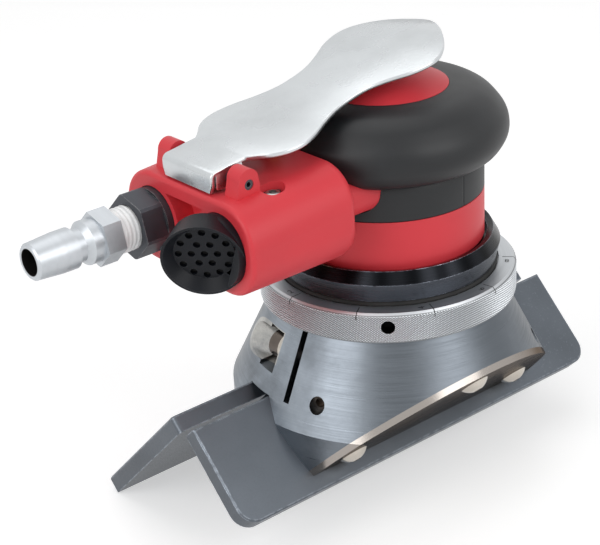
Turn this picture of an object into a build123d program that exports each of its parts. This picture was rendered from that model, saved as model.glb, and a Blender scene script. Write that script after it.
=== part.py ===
from build123d import *
import os
from math import cos, radians, sin, sqrt

os.makedirs("parts", exist_ok=True)

# Pneumatic edge chamfering tool: a palm-grip air motor with a spoon lever, on a turned guide
# body with a depth ring and an inverted-V edge guide. Millimetres, +Z up along the spindle.
# The origin is on the spindle axis at the cutting edges' lowest plane. The handle points to -X.

# ---------------------------------------------------------------- driving dimensions
# Fits
RUN = 0.05                      # radial clearance of a running or sliding fit
SEAT = 0.03                     # radial clearance of a seated fit
LOOSE = 0.3                     # gap between pieces that only pass each other
SOCKET_SHARE = 0.6              # half width of a screw's socket, as a share of the screw's radius

# Radii that step out from the motor barrel
BARREL_R = 30.2                 # outside of the motor housing's barrel
GRIP_WALL = 2.0                 # rubber on the barrel
HOUSING_WALL = 1.8
NOSE_STEP = 2.2                 # the nose sleeve is this much under the barrel's radius
SLEEVE_WALL = 3.45              # neck of the guide body round the nose sleeve
RING_WALL = 8.45                # depth ring round the guide body's neck
CONE_STEP = 5.0                 # the cone's top stands out from the guide body's neck

# Depth ring
RING_Z = 27.0                   # lower face of the ring above the cutting plane
RING_H = 9.7
RING_BEVEL = 1.0
SPANNER_HOLE_R = 2.1
SPANNER_HOLE_DEPTH = 4.5
SPANNER_HOLE_COUNT = 4
SPANNER_ANGLE = -132.8          # direction of the first spanner hole from +X
RING_LIFT = 1.15                # gap between the depth ring and the clamp ring above it
RING_GROOVE_W = 3.0             # groove in the ring's top for the friction ring
RING_GROOVE_D = 1.2
SPANNER_HOLE_SHARE = 0.56       # height of the spanner holes' axis in the ring

# Guide body
CONE_SLOPE = 0.49               # growth of the cone's radius per millimetre of height
RIM_R = 50.3                    # straight rim below the cone
CAVITY_R = 30.0                 # cutter chamber
CAVITY_TOP = 22.0
BODY_SPARE = 1.0                # of the turned blank, below the cuts for the plates
SLOT_W = 2.2                    # clamping kerfs through the cone wall
SLOT_LOW = 5.3
SLOT_TOP = 25.6
SLOT_ANGLES = (-174.7, 125.0)
POCKET_X = -37.0                # open pocket across the cone for the head of the kerf's screw
POCKET_Z = 16.6
POCKET_R = 5.8
POCKET_FROM_Y = 5.0
POCKET_TO_Y = 13.0
CHANNEL_X = -38.3               # shallower channel beyond it for the screw's key
CHANNEL_R = 4.9
CHANNEL_TO_Y = 27.0
KERF_SCREW_X = -36.2            # cap screw across the kerf
KERF_SCREW_R = 2.5
KERF_SCREW_L = 15.0
KERF_HEAD_R = 4.25
KERF_HEAD_H = 5.0
KERF_WASHER_R = 4.6
KERF_WASHER_T = 1.0
SET_SCREW_R = 2.5
SET_SCREW_L = 7.0
SET_SCREW_Z = 7.3
SET_SCREW_SINK = 2.0
SET_SCREW_ANGLES = (-161.0, -41.0, 79.0)

# Edge guide: two plates at 45 degrees either side of a ridge line along X
VEE_Y = 8.7                     # the ridge line is off the spindle, so the cutting speed isn't zero
VEE_Z = 10.4                    # where the plates' outer faces would meet
PLATE_GAP = 10.8                # across the outer top corners
PLATE_L = 149.3
PLATE_X = -1.6                  # middle of the plates along X
PLATE_T = 5.6
NEAR_W = 33.0
FAR_W = 54.6
NEAR_CORNER = 6.0
FAR_CORNER = 1.5
PLATE_BREAK = 0.5               # broken edges
NOTCH_HALF = 43.0               # relief for the cutter in the plates' top edges
NOTCH_D = 8.0
PLATE_SCREW_R = 2.5
PLATE_SCREW_HEAD_R = 4.8
PLATE_SCREW_BITE = 8.0          # length in the guide body
NEAR_SCREW_X = 38.0
NEAR_SCREW_S = 14.0             # down the plate from its top edge
FAR_SCREW_X = 27.0
FAR_SCREW_S = 20.0

# Undercut on the near side and the polished cover on it
UNDERCUT = 28.6                 # the undercut is the plane y + z = -UNDERCUT
COVER_T = 2.0
COVER_SCREW_R = 2.0
COVER_HEAD_R = 4.6
COVER_HEAD_H = 2.2
COVER_SCREW_BITE = 6.5
COVER_SIDE_X = 35.0
COVER_SIDE_W = 6.3              # up the cover from its lower edge
COVER_TOP_W = 30.0

# Clamp ring and nose sleeve
NOSE_LOW = 24.0
NOSE_BORE = 14.0
MOUTH_GAP = 0.8                 # gap round the barrel in the clamp ring's mouth
CLAMP_LIP_W = 1.9               # flat lip round the mouth
CLAMP_LIP_RISE = 0.7
CLAMP_FLARE = 2.1               # the widest line stands out from the lip
CLAMP_TUCK = 1.3                # the base steps in from the widest line
CLAMP_WIDE_Z = 5.65             # height of the widest line above the clamp ring's base
CLAMP_H = 9.35
CLAMP_MOUTH_D = 2.0             # depth of the mouth below its lip
CLAMP_SPLIT_ANGLE = 47.0        # the split faces away from the window side
CLAMP_SPLIT_W = 2.0
CLAMP_SCREW_R = 1.5
CLAMP_SCREW_HEAD_R = 2.7
CLAMP_SCREW_HEAD_H = 3.0
CLAMP_SCREW_L = 14.0
CLAMP_SCREW_OUT = 3.2           # the pinch screw's axis clears the nose sleeve by this much
CLAMP_SCREW_DROP = 0.6          # the pinch screw is this far below the clamp ring's middle
KEY_STOP_W = 4.0                # key that keeps the guide body from turning
KEY_STOP_SINK = 1.5             # depth of the key in the nose sleeve
KEY_STOP_PROUD = 1.6            # depth of the key in the guide body
KEY_STOP_Z = 27.0
KEY_STOP_H = 8.0

# Motor housing
BARREL_Z = 45.0
BARREL_ROUND = 1.6
GRIP_Z = 61.4                   # lower edge of the rubber
CROWN_EDGE_R = 19.8
CROWN_EDGE_Z = 93.8
CROWN_Z = 98.4
SHOULDER_Z = 81.9
SHOULDER_IN = 2.2               # the shoulder leans in by this much under the rubber
SHOULDER_TOP_Z = 87.9
CROWN_STEP_Z = 90.5
BORE_TOP = 80.0
CAP_BORE_R = 17.0
CAP_BORE_TOP = 86.0

# Rubber grip
CREASE_IN = 0.4                 # the crease is cut in from the barrel's radius
CREASE_EDGE = 1.0               # and starts this far below its bottom
CREASE_Z = 71.7
BULGE_OUT = 7.4                 # the bulge stands out from the barrel
BULGE_Z = 81.0
BELLY_OUT = 4.3                 # profile points between the crease, the bulge and the crown
BELLY_Z = 74.0
SHOULDER_ROUND_IN = 2.8
SHOULDER_ROUND_Z = 88.0
BROW_IN = 8.9
BROW_Z = 92.5

# Handle block, an oblong casting along X
BLOCK_END = -74.7               # outer end, with the inlet and exhaust sockets
BLOCK_IN = -36.7                # inner end, towards the grip
BLOCK_HALF_W = 29.0
BLOCK_Z = 55.7
BLOCK_H = 26.9
BLOCK_RISE = 2.8                # the top rises by this much towards the grip
BLOCK_CORNER = 12.0
BLOCK_EDGE = 1.4                # rounded edge of the outer end
BLOCK_IN_EDGE = 2.8             # rounded edge of the inner end
NECK_HALF_W = 21.2
NECK_Z = 64.2
NECK_H = 12.5
NECK_CORNER = 6.1
PORT_Y = 15.5                   # inlet at +Y, exhaust at -Y
PORT_Z = 69.1
RECESS_D = 6.0                  # waisted pocket between the sockets
RECESS_TOP = 78.4
RECESS_LOW = 68.5
RECESS_WALL = 1.6

# Lever ears
EAR_IN = 13.0
EAR_OUT = 18.5
PIN_X = -66.3
PIN_Z = 86.2
EAR_R = 3.3                     # rounded top of the ear
EAR_RISE = 1.2                  # its centre is above the pin
EAR_FOOT = 4.9                  # half the length of the ear's foot
EAR_SINK = 6.0                  # the ear's foot is this far below the pin
PIN_R = 1.5
PIN_BORE = 0.75                 # hexagon socket in the pin
PIN_SINK = 0.3

# Throttle lever, a bent spoon of sheet steel
LEVER_T = 1.6
LEVER_HALF = 11.2
LEVER_REAR = -73.6
LEVER_REAR_Z = 89.3
LIP_Z = 83.4
CHEEK_Z = 83.9
CHEEK_X = -62.5
# crest of the lever: place along X and height
LEVER_CREST = (
    (LEVER_REAR, LEVER_REAR_Z),
    (-60.0, 91.3),
    (-45.0, 93.6),
    (-30.0, 97.1),
    (-15.0, 101.1),
    (0.0, 104.6),
    (12.0, 107.4),
    (20.3, 108.3),
)
# side of the lever from its neck to its tip: place along X and half width
LEVER_SIDE = (
    (-61.5, LEVER_HALF),
    (-56.0, 16.6),
    (-47.5, 19.3),
    (-36.0, 15.6),
    (-24.0, 13.0),
    (-12.0, 16.0),
    (0.0, 20.7),
    (8.0, 18.4),
    (15.0, 11.4),
)

# Throttle valve
STEM_X = -44.0
STEM_R = 2.4
STEM_TOP = 91.6
STEM_ROUND = 1.4
POPPET_R = 4.6
POPPET_Z = 63.5
POPPET_H = 3.0
SEAT_H = 2.5
SEAT_BORE = 3.6
VALVE_R = 6.5
VALVE_TOP = 76.0
CAP_H = 3.2
CAP_SOCKET_R = 2.9
CAP_SOCKET_D = 1.9
BUSH_R = 4.4
BUSH_PROUD = 0.8
SPRING_R = 3.7
SPRING_WIRE = 0.4
SPRING_TURNS = 3
FEED_R = 2.3
CROSS_R = 2.4
FEED_LIFT = 0.7                 # the feed passage clears the valve seat by this much

# Inlet
BUSHING_HEX = 17.0              # across flats
BUSHING_END = -84.0
BUSHING_HEX_L = 7.4
HEX_CORNER_CUT = 0.3            # the hexagon's corners are turned down by this much
INLET_SOCKET_R = 9.55
COLLAR_SINK = 1.8
BUSHING_SHANK_R = 8.5
BUSHING_SHANK_L = 10.0
INLET_BORE = 6.65
SEAL_T = 1.0
STRAINER_L = 10.0
STRAINER_WALL = 1.0
STRAINER_END_T = 0.8
STRAINER_HOLE_R = 0.7
STRAINER_PITCH = 1.3            # hexagonal pattern, distance of a hole's side from its middle
STRAINER_ROWS = 4
INLET_PASSAGE_R = 6.5
INLET_PASSAGE_END = -40.0
PLUG_NOSE_L = 13.2
PLUG_TIP_R = 5.4
PLUG_R = 6.0                    # the part that a quick coupler grips round
PLUG_STRAIGHT = 4.5
PLUG_GROOVE_R = 4.9
PLUG_GROOVE_L = 3.2
PLUG_SHOULDER = 1.2             # length of the slope from the groove to the body
PLUG_BODY_R = 6.45
PLUG_BODY_L = 4.5
PLUG_HEX = 14.0
PLUG_HEX_L = 5.9
PLUG_THREAD_OUT = 5.9           # length of the taped thread, outside the bushing and in it
PLUG_THREAD_IN = 7.5
PLUG_BORE = 3.9
PLUG_BREAK = 0.5                # broken edges of the nose and the groove
PLUG_SHANK_R = 5.9
TAPE_R = 6.6

# Exhaust
SOCKET_R = 10.4
SOCKET_D = 10.0
ELBOW_R = 10.3
ELBOW_BORE = 7.5
ELBOW_END_T = 1.5
ELBOW_END = -77.0
PIVOT_X = -80.9                 # where the cup's axis leaves the tube's axis
CUP_TURN = 42.8                 # the cup points this far from -X towards -Y
CUP_DROP = 14.0                 # and this far below the level
CUP_RIM_R = 11.6
CUP_BASE_R = 9.9
CUP_BACK = 6.0
CUP_FRONT = 2.4
CUP_WALL = 1.4
GRILLE_SINK = 3.2
GRILLE_T = 1.4
GRILLE_HOLE_R = 1.05
GRILLE_PITCH = 3.6
FELT_T = 3.0
EXHAUST_R = 5.0
EXHAUST_SEAL_W = 2.0

# Regulator
REG_X = -59.0
REG_Y = -19.3
REG_RECESS_R = 2.8
REG_RECESS_L = 7.4
REG_HEAD_R = 2.45
REG_HEAD_Z = 82.3
REG_HEAD_H = 1.9
REG_HEAD_ROUND = 1.2
REG_R = 1.7
REG_SOCKET_R = 1.0
REG_SOCKET_D = 1.2
REG_TIP = 70.5
REG_COLLAR_R = 2.7              # collar under the head, held down by the clip
REG_COLLAR_H = 0.5
REG_CLIP_T = 0.5

# Motor
MOTOR_Z = 52.0
MOTOR_H = 22.0
LINER_WALL = 6.4                # of the motor cylinder, midway between its thin and thick sides
LINER_OFFSET = 2.2              # of the cylinder's bore from the spindle's axis
ROTOR_GAP = 0.2                 # between the rotor and the near side of the bore
END_PLATE_T = 3.0
LOWER_BOSS_R = 20.0
LOWER_BOSS_Z = 40.0
UPPER_BOSS_R = 15.5
UPPER_BOSS_TOP = 84.3
VANE_COUNT = 5
VANE_T = 2.2
VANE_ROOT = 9.4
VANE_SINK = 0.4                 # play of a drawn-in vane in its slot
SPINDLE_TIP_Z = 10.0
ARBOR_R = 8.0
FLANGE_R = 12.0
FLANGE_H = 4.0
SHANK_R = 9.0
KEY_W = 2.5
KEY_H = 1.4
KEY_L = 12.0
LOWER_BEARING_BORE = 7.5        # radius
LOWER_BEARING_R = 16.0
LOWER_BEARING_W = 9.0
UPPER_BEARING_BORE = 5.0
UPPER_BEARING_R = 13.0
UPPER_BEARING_W = 8.0
UPPER_BEARING_LIFT = 2.0        # wall under the upper bearing
RACE_T = 2.6
BALL_SINK = 0.7                 # depth of the ball groove in each race
BALL_COUNT = 9
ROTOR_SHAFT_R = 6.0

# Cutter
CUTTER_R = 22.0
CUTTER_TOP = 20.0
CUTTER_LIFT = 0.5               # the insert edges stand proud of the head by this much
INSERT_COUNT = 3
INSERT_SIZE = 11.0
INSERT_T = 3.6
INSERT_OUT = 0.6                # past the head's rim
INSERT_SCREW_R = 1.5
INSERT_SCREW_HEAD_R = 2.4
INSERT_SCREW_L = 7.0
GULLET_W = 8.0
GULLET_H = 14.0
BOLT_R = 4.0
BOLT_HEAD_R = 6.5
BOLT_HEAD_H = 6.0
BOLT_HEX = 6.0
BOLT_L = 15.0
BOLT_SEAT_Z = 8.0

# ---------------------------------------------------------------- worked-out places
NOSE_R = BARREL_R - NOSE_STEP
SLEEVE_R = NOSE_R + RUN + SLEEVE_WALL
RING_R = SLEEVE_R + RUN + RING_WALL
CONE_R = SLEEVE_R + CONE_STEP
UNDER_GRIP_R = BARREL_R - GRIP_WALL
BARREL_BORE = UNDER_GRIP_R - HOUSING_WALL
LINER_BORE = BARREL_BORE - LINER_WALL
ROTOR_R = LINER_BORE - LINER_OFFSET - ROTOR_GAP
SHOULDER_TOP_R = UNDER_GRIP_R - SHOULDER_IN
CREASE_R = BARREL_R - CREASE_IN
BULGE_R = BARREL_R + BULGE_OUT
CLAMP_MOUTH_R = BARREL_R + MOUTH_GAP
CLAMP_TOP_R = CLAMP_MOUTH_R + CLAMP_LIP_W
CLAMP_R = CLAMP_TOP_R + CLAMP_FLARE
CLAMP_LOW_R = CLAMP_R - CLAMP_TUCK
COLLAR_R = INLET_SOCKET_R - 5 * RUN
RING_TOP = RING_Z + RING_H
CLAMP_Z = RING_TOP + RING_LIFT
CLAMP_FLOOR = CLAMP_Z + CLAMP_H - CLAMP_LIP_RISE - CLAMP_MOUTH_D
RIM_Z = RING_Z - (RIM_R - CONE_R) / CONE_SLOPE
BODY_LOW = VEE_Z + VEE_Y - RIM_R - BODY_SPARE
HALF_GAP = PLATE_GAP / 2
PLATE_TOP_Z = VEE_Z - HALF_GAP
DIAG = sqrt(0.5)
UNDERCUT_Y = -(UNDERCUT + VEE_Z - VEE_Y) / 2
UNDERCUT_Z = -UNDERCUT - UNDERCUT_Y
REACH = PLATE_L                 # longer than any piece that a cutting prism has to pass
MOTOR_TOP = MOTOR_Z + MOTOR_H
SEAT_Z = POPPET_Z + POPPET_H
LOWER_PLATE_Z = MOTOR_Z - END_PLATE_T
FEED_Z = SEAT_Z + SEAT_H + FEED_R + FEED_LIFT
UPPER_BEARING_Z = MOTOR_TOP + UPPER_BEARING_LIFT
COLLAR_END = BUSHING_END + BUSHING_HEX_L
PLUG_SHANK_END = BUSHING_END + PLUG_THREAD_IN
PLUG_HEX_X = BUSHING_END - PLUG_THREAD_OUT - PLUG_HEX_L
PLUG_GROOVE = PLUG_HEX_X - PLUG_BODY_L - PLUG_GROOVE_L
PLUG_TIP = PLUG_GROOVE - PLUG_NOSE_L
COUNTERBORE_END = BLOCK_END + COLLAR_SINK + SEAL_T
HEX_TO_CORNER = 2 / sqrt(3)
PADDLE_HALF = max(y for x, y in LEVER_SIDE)
COVER_SCREWS = ((COVER_SIDE_X, COVER_SIDE_W), (-COVER_SIDE_X, COVER_SIDE_W), (0, COVER_TOP_W))
PLATE_SCREWS = ((-1, NEAR_SCREW_X, NEAR_SCREW_S), (1, FAR_SCREW_X, FAR_SCREW_S))

undercut_plane = Plane(origin=(0, UNDERCUT_Y, UNDERCUT_Z), x_dir=(1, 0, 0), z_dir=(0, -DIAG, -DIAG))
cover_face = undercut_plane.offset(COVER_T)


def save(builder, name):
    """Label a finished sub-part and write it as its own STEP file."""
    builder.part.label = name
    export_step(builder.part, f"parts/{name}.step")


def polar(radius, angle, z):
    """A point at a radius and an angle about the spindle."""
    return (radius * cos(radians(angle)), radius * sin(radians(angle)), z)


def radial_plane(radius, angle, z):
    """A plane facing outward from the spindle."""
    out = radians(angle)
    along = (-sin(out), cos(out), 0)
    return Plane(origin=polar(radius, angle, z), x_dir=along, z_dir=(cos(out), sin(out), 0))


def plate_plane(side):
    """The outer face of a guide plate: origin at its top edge, local Y up the slope."""
    origin = (0, VEE_Y + side * HALF_GAP, PLATE_TOP_Z)
    return Plane(origin=origin, x_dir=(-side, 0, 0), z_dir=(0, side * DIAG, DIAG))


def cone_radius(z):
    """Outer radius of the guide body's cone at a height."""
    return min(CONE_R + CONE_SLOPE * (RING_Z - z), RIM_R)


# ---------------------------------------------------------------- depth ring
with BuildPart() as depth_ring:
    with BuildSketch(Plane.XZ):
        with BuildLine():
            Polyline(
                (SLEEVE_R + RUN, RING_Z),
                (RING_R - RING_BEVEL / 2, RING_Z),
                (RING_R, RING_Z + RING_BEVEL / 2),
                (RING_R, RING_TOP - RING_BEVEL),
                (RING_R - RING_BEVEL, RING_TOP),
                (SLEEVE_R + RUN + RING_GROOVE_W, RING_TOP),
                (SLEEVE_R + RUN + RING_GROOVE_W, RING_TOP - RING_GROOVE_D),
                (SLEEVE_R + RUN, RING_TOP - RING_GROOVE_D),
                close=True,
            )
        make_face()
    revolve(axis=Axis.Z)
    for turn in range(SPANNER_HOLE_COUNT):
        angle = SPANNER_ANGLE + turn * 360 / SPANNER_HOLE_COUNT
        with Locations(radial_plane(RING_R, angle, RING_Z + RING_H * SPANNER_HOLE_SHARE)):
            Cylinder(SPANNER_HOLE_R, 2 * SPANNER_HOLE_DEPTH, mode=Mode.SUBTRACT)
save(depth_ring, "depth_ring")


# ---------------------------------------------------------------- guide body
# seat of the kerf's cap screw: the near end of the pocket, facing along +Y
kerf_screw_seat = Plane(origin=(KERF_SCREW_X, POCKET_FROM_Y, POCKET_Z), x_dir=(1, 0, 0), z_dir=(0, 1, 0))

with BuildPart() as guide_body:
    with BuildSketch(Plane.XZ):
        with BuildLine():
            Polyline(
                (NOSE_R + RUN, CAVITY_TOP),
                (NOSE_R + RUN, RING_TOP),
                (SLEEVE_R, RING_TOP),
                (SLEEVE_R, RING_Z),
                (CONE_R, RING_Z),
                (RIM_R, RIM_Z),
                (RIM_R, BODY_LOW),
                (CAVITY_R, BODY_LOW),
                (CAVITY_R, CAVITY_TOP),
                close=True,
            )
        make_face()
    revolve(axis=Axis.Z)
    # the underside straddles the two guide plates
    with BuildSketch(Plane.YZ):
        with BuildLine():
            Polyline(
                (VEE_Y - HALF_GAP, PLATE_TOP_Z),
                (VEE_Y + HALF_GAP, PLATE_TOP_Z),
                (VEE_Y + HALF_GAP + REACH, PLATE_TOP_Z - REACH),
                (VEE_Y - HALF_GAP - REACH, PLATE_TOP_Z - REACH),
                close=True,
            )
        make_face()
    extrude(amount=REACH, both=True, mode=Mode.SUBTRACT)
    split(bisect_by=undercut_plane, keep=Keep.BOTTOM)
    # pocket and key channel of the kerf's screw, both open outwards
    for x, radius, y_to in ((POCKET_X, POCKET_R, POCKET_TO_Y), (CHANNEL_X, CHANNEL_R, CHANNEL_TO_Y)):
        length = y_to - POCKET_FROM_Y
        middle_y = (POCKET_FROM_Y + y_to) / 2
        with Locations(Location((x, middle_y, POCKET_Z), (90, 0, 0))):
            Cylinder(radius, length, mode=Mode.SUBTRACT)
        with Locations((x - REACH / 2, middle_y, POCKET_Z)):
            Box(REACH, length, 2 * radius, mode=Mode.SUBTRACT)
    # clamping kerfs
    wall_middle = (CAVITY_R + RIM_R) / 2
    wall_l = RIM_R - CAVITY_R + SLOT_W
    for angle in SLOT_ANGLES:
        middle = polar(wall_middle, angle, (SLOT_LOW + SLOT_TOP) / 2)
        with Locations(Location(middle, (0, 0, angle))):
            Box(wall_l, SLOT_W, SLOT_TOP - SLOT_LOW, mode=Mode.SUBTRACT)
    # hole for the kerf's cap screw
    with Locations(kerf_screw_seat):
        Cylinder(
            KERF_SCREW_R + SEAT,
            KERF_SCREW_L + 1,
            align=(Align.CENTER, Align.CENTER, Align.MAX),
            mode=Mode.SUBTRACT,
        )
    # set-screw holes
    for angle in SET_SCREW_ANGLES:
        with Locations(radial_plane(wall_middle, angle, SET_SCREW_Z)):
            Cylinder(SET_SCREW_R + SEAT, wall_l, mode=Mode.SUBTRACT)
    # keyway
    with Locations((0, NOSE_R + KEY_STOP_PROUD / 2, (CAVITY_TOP + RING_TOP) / 2)):
        Box(KEY_STOP_W + 2 * RUN, KEY_STOP_PROUD + 2 * LOOSE, RING_TOP - CAVITY_TOP, mode=Mode.SUBTRACT)
    # screw holes for the plates and the cover
    for side, x, s in PLATE_SCREWS:
        with Locations(plate_plane(side)):
            with Locations((x, -s, PLATE_SCREW_BITE / 2), (-x, -s, PLATE_SCREW_BITE / 2)):
                Cylinder(PLATE_SCREW_R + SEAT, PLATE_SCREW_BITE, mode=Mode.SUBTRACT)
    with Locations(undercut_plane):
        with Locations(*COVER_SCREWS):
            Cylinder(
                COVER_SCREW_R + SEAT,
                COVER_SCREW_BITE,
                align=(Align.CENTER, Align.CENTER, Align.MAX),
                mode=Mode.SUBTRACT,
            )
save(guide_body, "guide_body")


# ---------------------------------------------------------------- guide plates
def guide_plate(side, width, corner, screw_x, screw_s):
    """One hardened plate of the edge guide, with its cutter relief and countersunk holes."""
    outer = plate_plane(side)
    inner = Plane(origin=outer.origin - outer.z_dir * PLATE_T, x_dir=-outer.x_dir, z_dir=-outer.z_dir)
    middle_x = -side * PLATE_X
    with BuildPart() as plate:
        with BuildSketch(outer):
            with Locations((middle_x, -width / 2)):
                Rectangle(PLATE_L, width)
            low_corners = vertices().group_by(Axis((0, 0, 0), outer.y_dir))[0]
            fillet(low_corners, radius=corner)
            Rectangle(2 * NOTCH_HALF, 2 * NOTCH_D, mode=Mode.SUBTRACT)
        extrude(amount=-PLATE_T)
        chamfer(faces().sort_by(Axis((0, 0, 0), outer.z_dir))[-1].outer_wire().edges(), PLATE_BREAK)
        with Locations(inner):
            with Locations((screw_x, -screw_s), (-screw_x, -screw_s)):
                CounterSinkHole(PLATE_SCREW_R + RUN, PLATE_SCREW_HEAD_R + RUN, PLATE_T)
    return plate


for name, side, width, corner, x, s in (
    ("near_guide_plate", -1, NEAR_W, NEAR_CORNER, NEAR_SCREW_X, NEAR_SCREW_S),
    ("far_guide_plate", 1, FAR_W, FAR_CORNER, FAR_SCREW_X, FAR_SCREW_S),
):
    save(guide_plate(side, width, corner, x, s), name)


# ---------------------------------------------------------------- plate screws, set screws, cover
with BuildPart() as plate_screws:
    for side, x, s in PLATE_SCREWS:
        with Locations(plate_plane(side)):
            with Locations((x, -s, -PLATE_T), (-x, -s, -PLATE_T)):
                head_h = PLATE_SCREW_HEAD_R - PLATE_SCREW_R
                Cone(
                    PLATE_SCREW_HEAD_R,
                    PLATE_SCREW_R,
                    head_h,
                    align=(Align.CENTER, Align.CENTER, Align.MIN),
                )
                Cylinder(
                    PLATE_SCREW_R,
                    PLATE_T + PLATE_SCREW_BITE - 1,
                    align=(Align.CENTER, Align.CENTER, Align.MIN),
                )
                with BuildSketch(mode=Mode.PRIVATE) as socket:
                    RegularPolygon(PLATE_SCREW_R * SOCKET_SHARE, 6, major_radius=False)
                extrude(socket.sketch, amount=PLATE_SCREW_R, mode=Mode.SUBTRACT)
save(plate_screws, "plate_screws")

with BuildPart() as set_screws:
    for angle in SET_SCREW_ANGLES:
        out_r = cone_radius(SET_SCREW_Z) - SET_SCREW_SINK
        with Locations(radial_plane(out_r - SET_SCREW_L / 2, angle, SET_SCREW_Z)):
            Cylinder(SET_SCREW_R, SET_SCREW_L)
            with Locations((0, 0, SET_SCREW_L / 2)):
                Cylinder(SET_SCREW_R * SOCKET_SHARE, SET_SCREW_L / 2, mode=Mode.SUBTRACT)
save(set_screws, "set_screws")

with BuildPart() as cover_blank:
    with BuildSketch(Plane.XZ):
        with BuildLine():
            Polyline(
                (0, RING_Z - 1),
                (cone_radius(RING_Z - 1), RING_Z - 1),
                (RIM_R, RIM_Z),
                (RIM_R, -REACH),
                (0, -REACH),
                close=True,
            )
        make_face()
    revolve(axis=Axis.Z)
    split(bisect_by=cover_face, keep=Keep.BOTTOM)
    split(bisect_by=undercut_plane, keep=Keep.TOP)
    # the lower edge stops on the near guide plate
    with Locations(plate_plane(-1)):
        Box(3 * REACH, 3 * REACH, REACH, align=(Align.CENTER, Align.CENTER, Align.MAX), mode=Mode.SUBTRACT)

with BuildPart() as side_cover:
    add(cover_blank.part.solids().sort_by(SortBy.VOLUME)[-1])
    with Locations(cover_face):
        with Locations(*COVER_SCREWS):
            Hole(COVER_SCREW_R + RUN, COVER_T)
save(side_cover, "side_cover")

with BuildPart() as domed_head:
    with BuildSketch(Plane.XZ):
        with BuildLine():
            dome_r = (COVER_HEAD_R**2 + COVER_HEAD_H**2) / (2 * COVER_HEAD_H)
            Line((0, 0), (COVER_HEAD_R, 0))
            RadiusArc((COVER_HEAD_R, 0), (0, COVER_HEAD_H), -dome_r)
            Line((0, COVER_HEAD_H), (0, 0))
        make_face()
    revolve(axis=Axis.Z)

with BuildPart() as cover_screws:
    with Locations(cover_face):
        with Locations(*COVER_SCREWS):
            with Locations((0, 0, (1 - COVER_SCREW_BITE - COVER_T) / 2)):
                Cylinder(COVER_SCREW_R, COVER_T + COVER_SCREW_BITE - 1)
            add(domed_head.part)
            with Locations((0, 0, COVER_HEAD_H)):
                Cylinder(COVER_SCREW_R * SOCKET_SHARE, COVER_HEAD_H, mode=Mode.SUBTRACT)
save(cover_screws, "cover_screws")


# ---------------------------------------------------------------- clamp ring, nose sleeve, key
pinch_plane = Plane(
    origin=polar(NOSE_R + CLAMP_SCREW_OUT, CLAMP_SPLIT_ANGLE, CLAMP_Z + CLAMP_H / 2 - CLAMP_SCREW_DROP),
    x_dir=(cos(radians(CLAMP_SPLIT_ANGLE)), sin(radians(CLAMP_SPLIT_ANGLE)), 0),
    z_dir=(-sin(radians(CLAMP_SPLIT_ANGLE)), cos(radians(CLAMP_SPLIT_ANGLE)), 0),
)

with BuildPart() as clamp_ring:
    with BuildSketch(Plane.XZ):
        with BuildLine():
            Polyline(
                (NOSE_R + RUN, CLAMP_Z),
                (CLAMP_LOW_R, CLAMP_Z),
                (CLAMP_R, CLAMP_Z + CLAMP_WIDE_Z),
                (CLAMP_TOP_R, CLAMP_Z + CLAMP_H),
                (CLAMP_MOUTH_R, CLAMP_Z + CLAMP_H - CLAMP_LIP_RISE),
                (CLAMP_MOUTH_R, CLAMP_FLOOR),
                (NOSE_R + RUN, CLAMP_FLOOR),
                close=True,
            )
        make_face()
    revolve(axis=Axis.Z)
    with Locations(Location(polar(CLAMP_R, CLAMP_SPLIT_ANGLE, CLAMP_Z), (0, 0, CLAMP_SPLIT_ANGLE))):
        Box(CLAMP_R, CLAMP_SPLIT_W, 3 * CLAMP_H, mode=Mode.SUBTRACT)
    with Locations(pinch_plane):
        Cylinder(CLAMP_SCREW_R + SEAT, CLAMP_SCREW_L, mode=Mode.SUBTRACT)
        with Locations((0, 0, CLAMP_SCREW_L / 2 - CLAMP_SCREW_HEAD_H)):
            Cylinder(
                CLAMP_SCREW_HEAD_R + SEAT,
                CLAMP_R,
                align=(Align.CENTER, Align.CENTER, Align.MIN),
                mode=Mode.SUBTRACT,
            )
save(clamp_ring, "clamp_ring")

with BuildPart() as clamp_screw:
    with Locations(pinch_plane):
        Cylinder(CLAMP_SCREW_R, CLAMP_SCREW_L)
        with Locations((0, 0, CLAMP_SCREW_L / 2 - CLAMP_SCREW_HEAD_H / 2)):
            Cylinder(CLAMP_SCREW_HEAD_R, CLAMP_SCREW_HEAD_H)
        with Locations((0, 0, CLAMP_SCREW_L / 2)):
            Cylinder(CLAMP_SCREW_R * SOCKET_SHARE, CLAMP_SCREW_HEAD_H, mode=Mode.SUBTRACT)
save(clamp_screw, "clamp_screw")

# rubber ring that keeps the depth ring from turning by itself
with BuildPart() as friction_ring:
    friction_h = RING_LIFT + RING_GROOVE_D
    with Locations((0, 0, CLAMP_Z - friction_h / 2)):
        Torus(SLEEVE_R + RUN + RING_GROOVE_W / 2, friction_h / 2 - SEAT)
save(friction_ring, "friction_ring")

with BuildPart() as kerf_washer:
    with Locations(kerf_screw_seat):
        Cylinder(KERF_WASHER_R, KERF_WASHER_T, align=(Align.CENTER, Align.CENTER, Align.MIN))
        Cylinder(KERF_SCREW_R + SEAT, 2 * KERF_WASHER_T, mode=Mode.SUBTRACT)
save(kerf_washer, "kerf_washer")

with BuildPart() as kerf_screw:
    with Locations(kerf_screw_seat.offset(KERF_WASHER_T)):
        Cylinder(KERF_HEAD_R, KERF_HEAD_H, align=(Align.CENTER, Align.CENTER, Align.MIN))
        Cylinder(KERF_SCREW_R, KERF_SCREW_L, align=(Align.CENTER, Align.CENTER, Align.MAX))
    chamfer(faces().sort_by(Axis.Y)[-1].edges(), KERF_HEAD_H / 10)
    with BuildSketch(kerf_screw_seat.offset(KERF_WASHER_T + KERF_HEAD_H)):
        RegularPolygon(KERF_SCREW_R * SOCKET_SHARE, 6, major_radius=False)
    extrude(amount=-KERF_HEAD_H / 2, mode=Mode.SUBTRACT)
save(kerf_screw, "kerf_screw")

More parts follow.
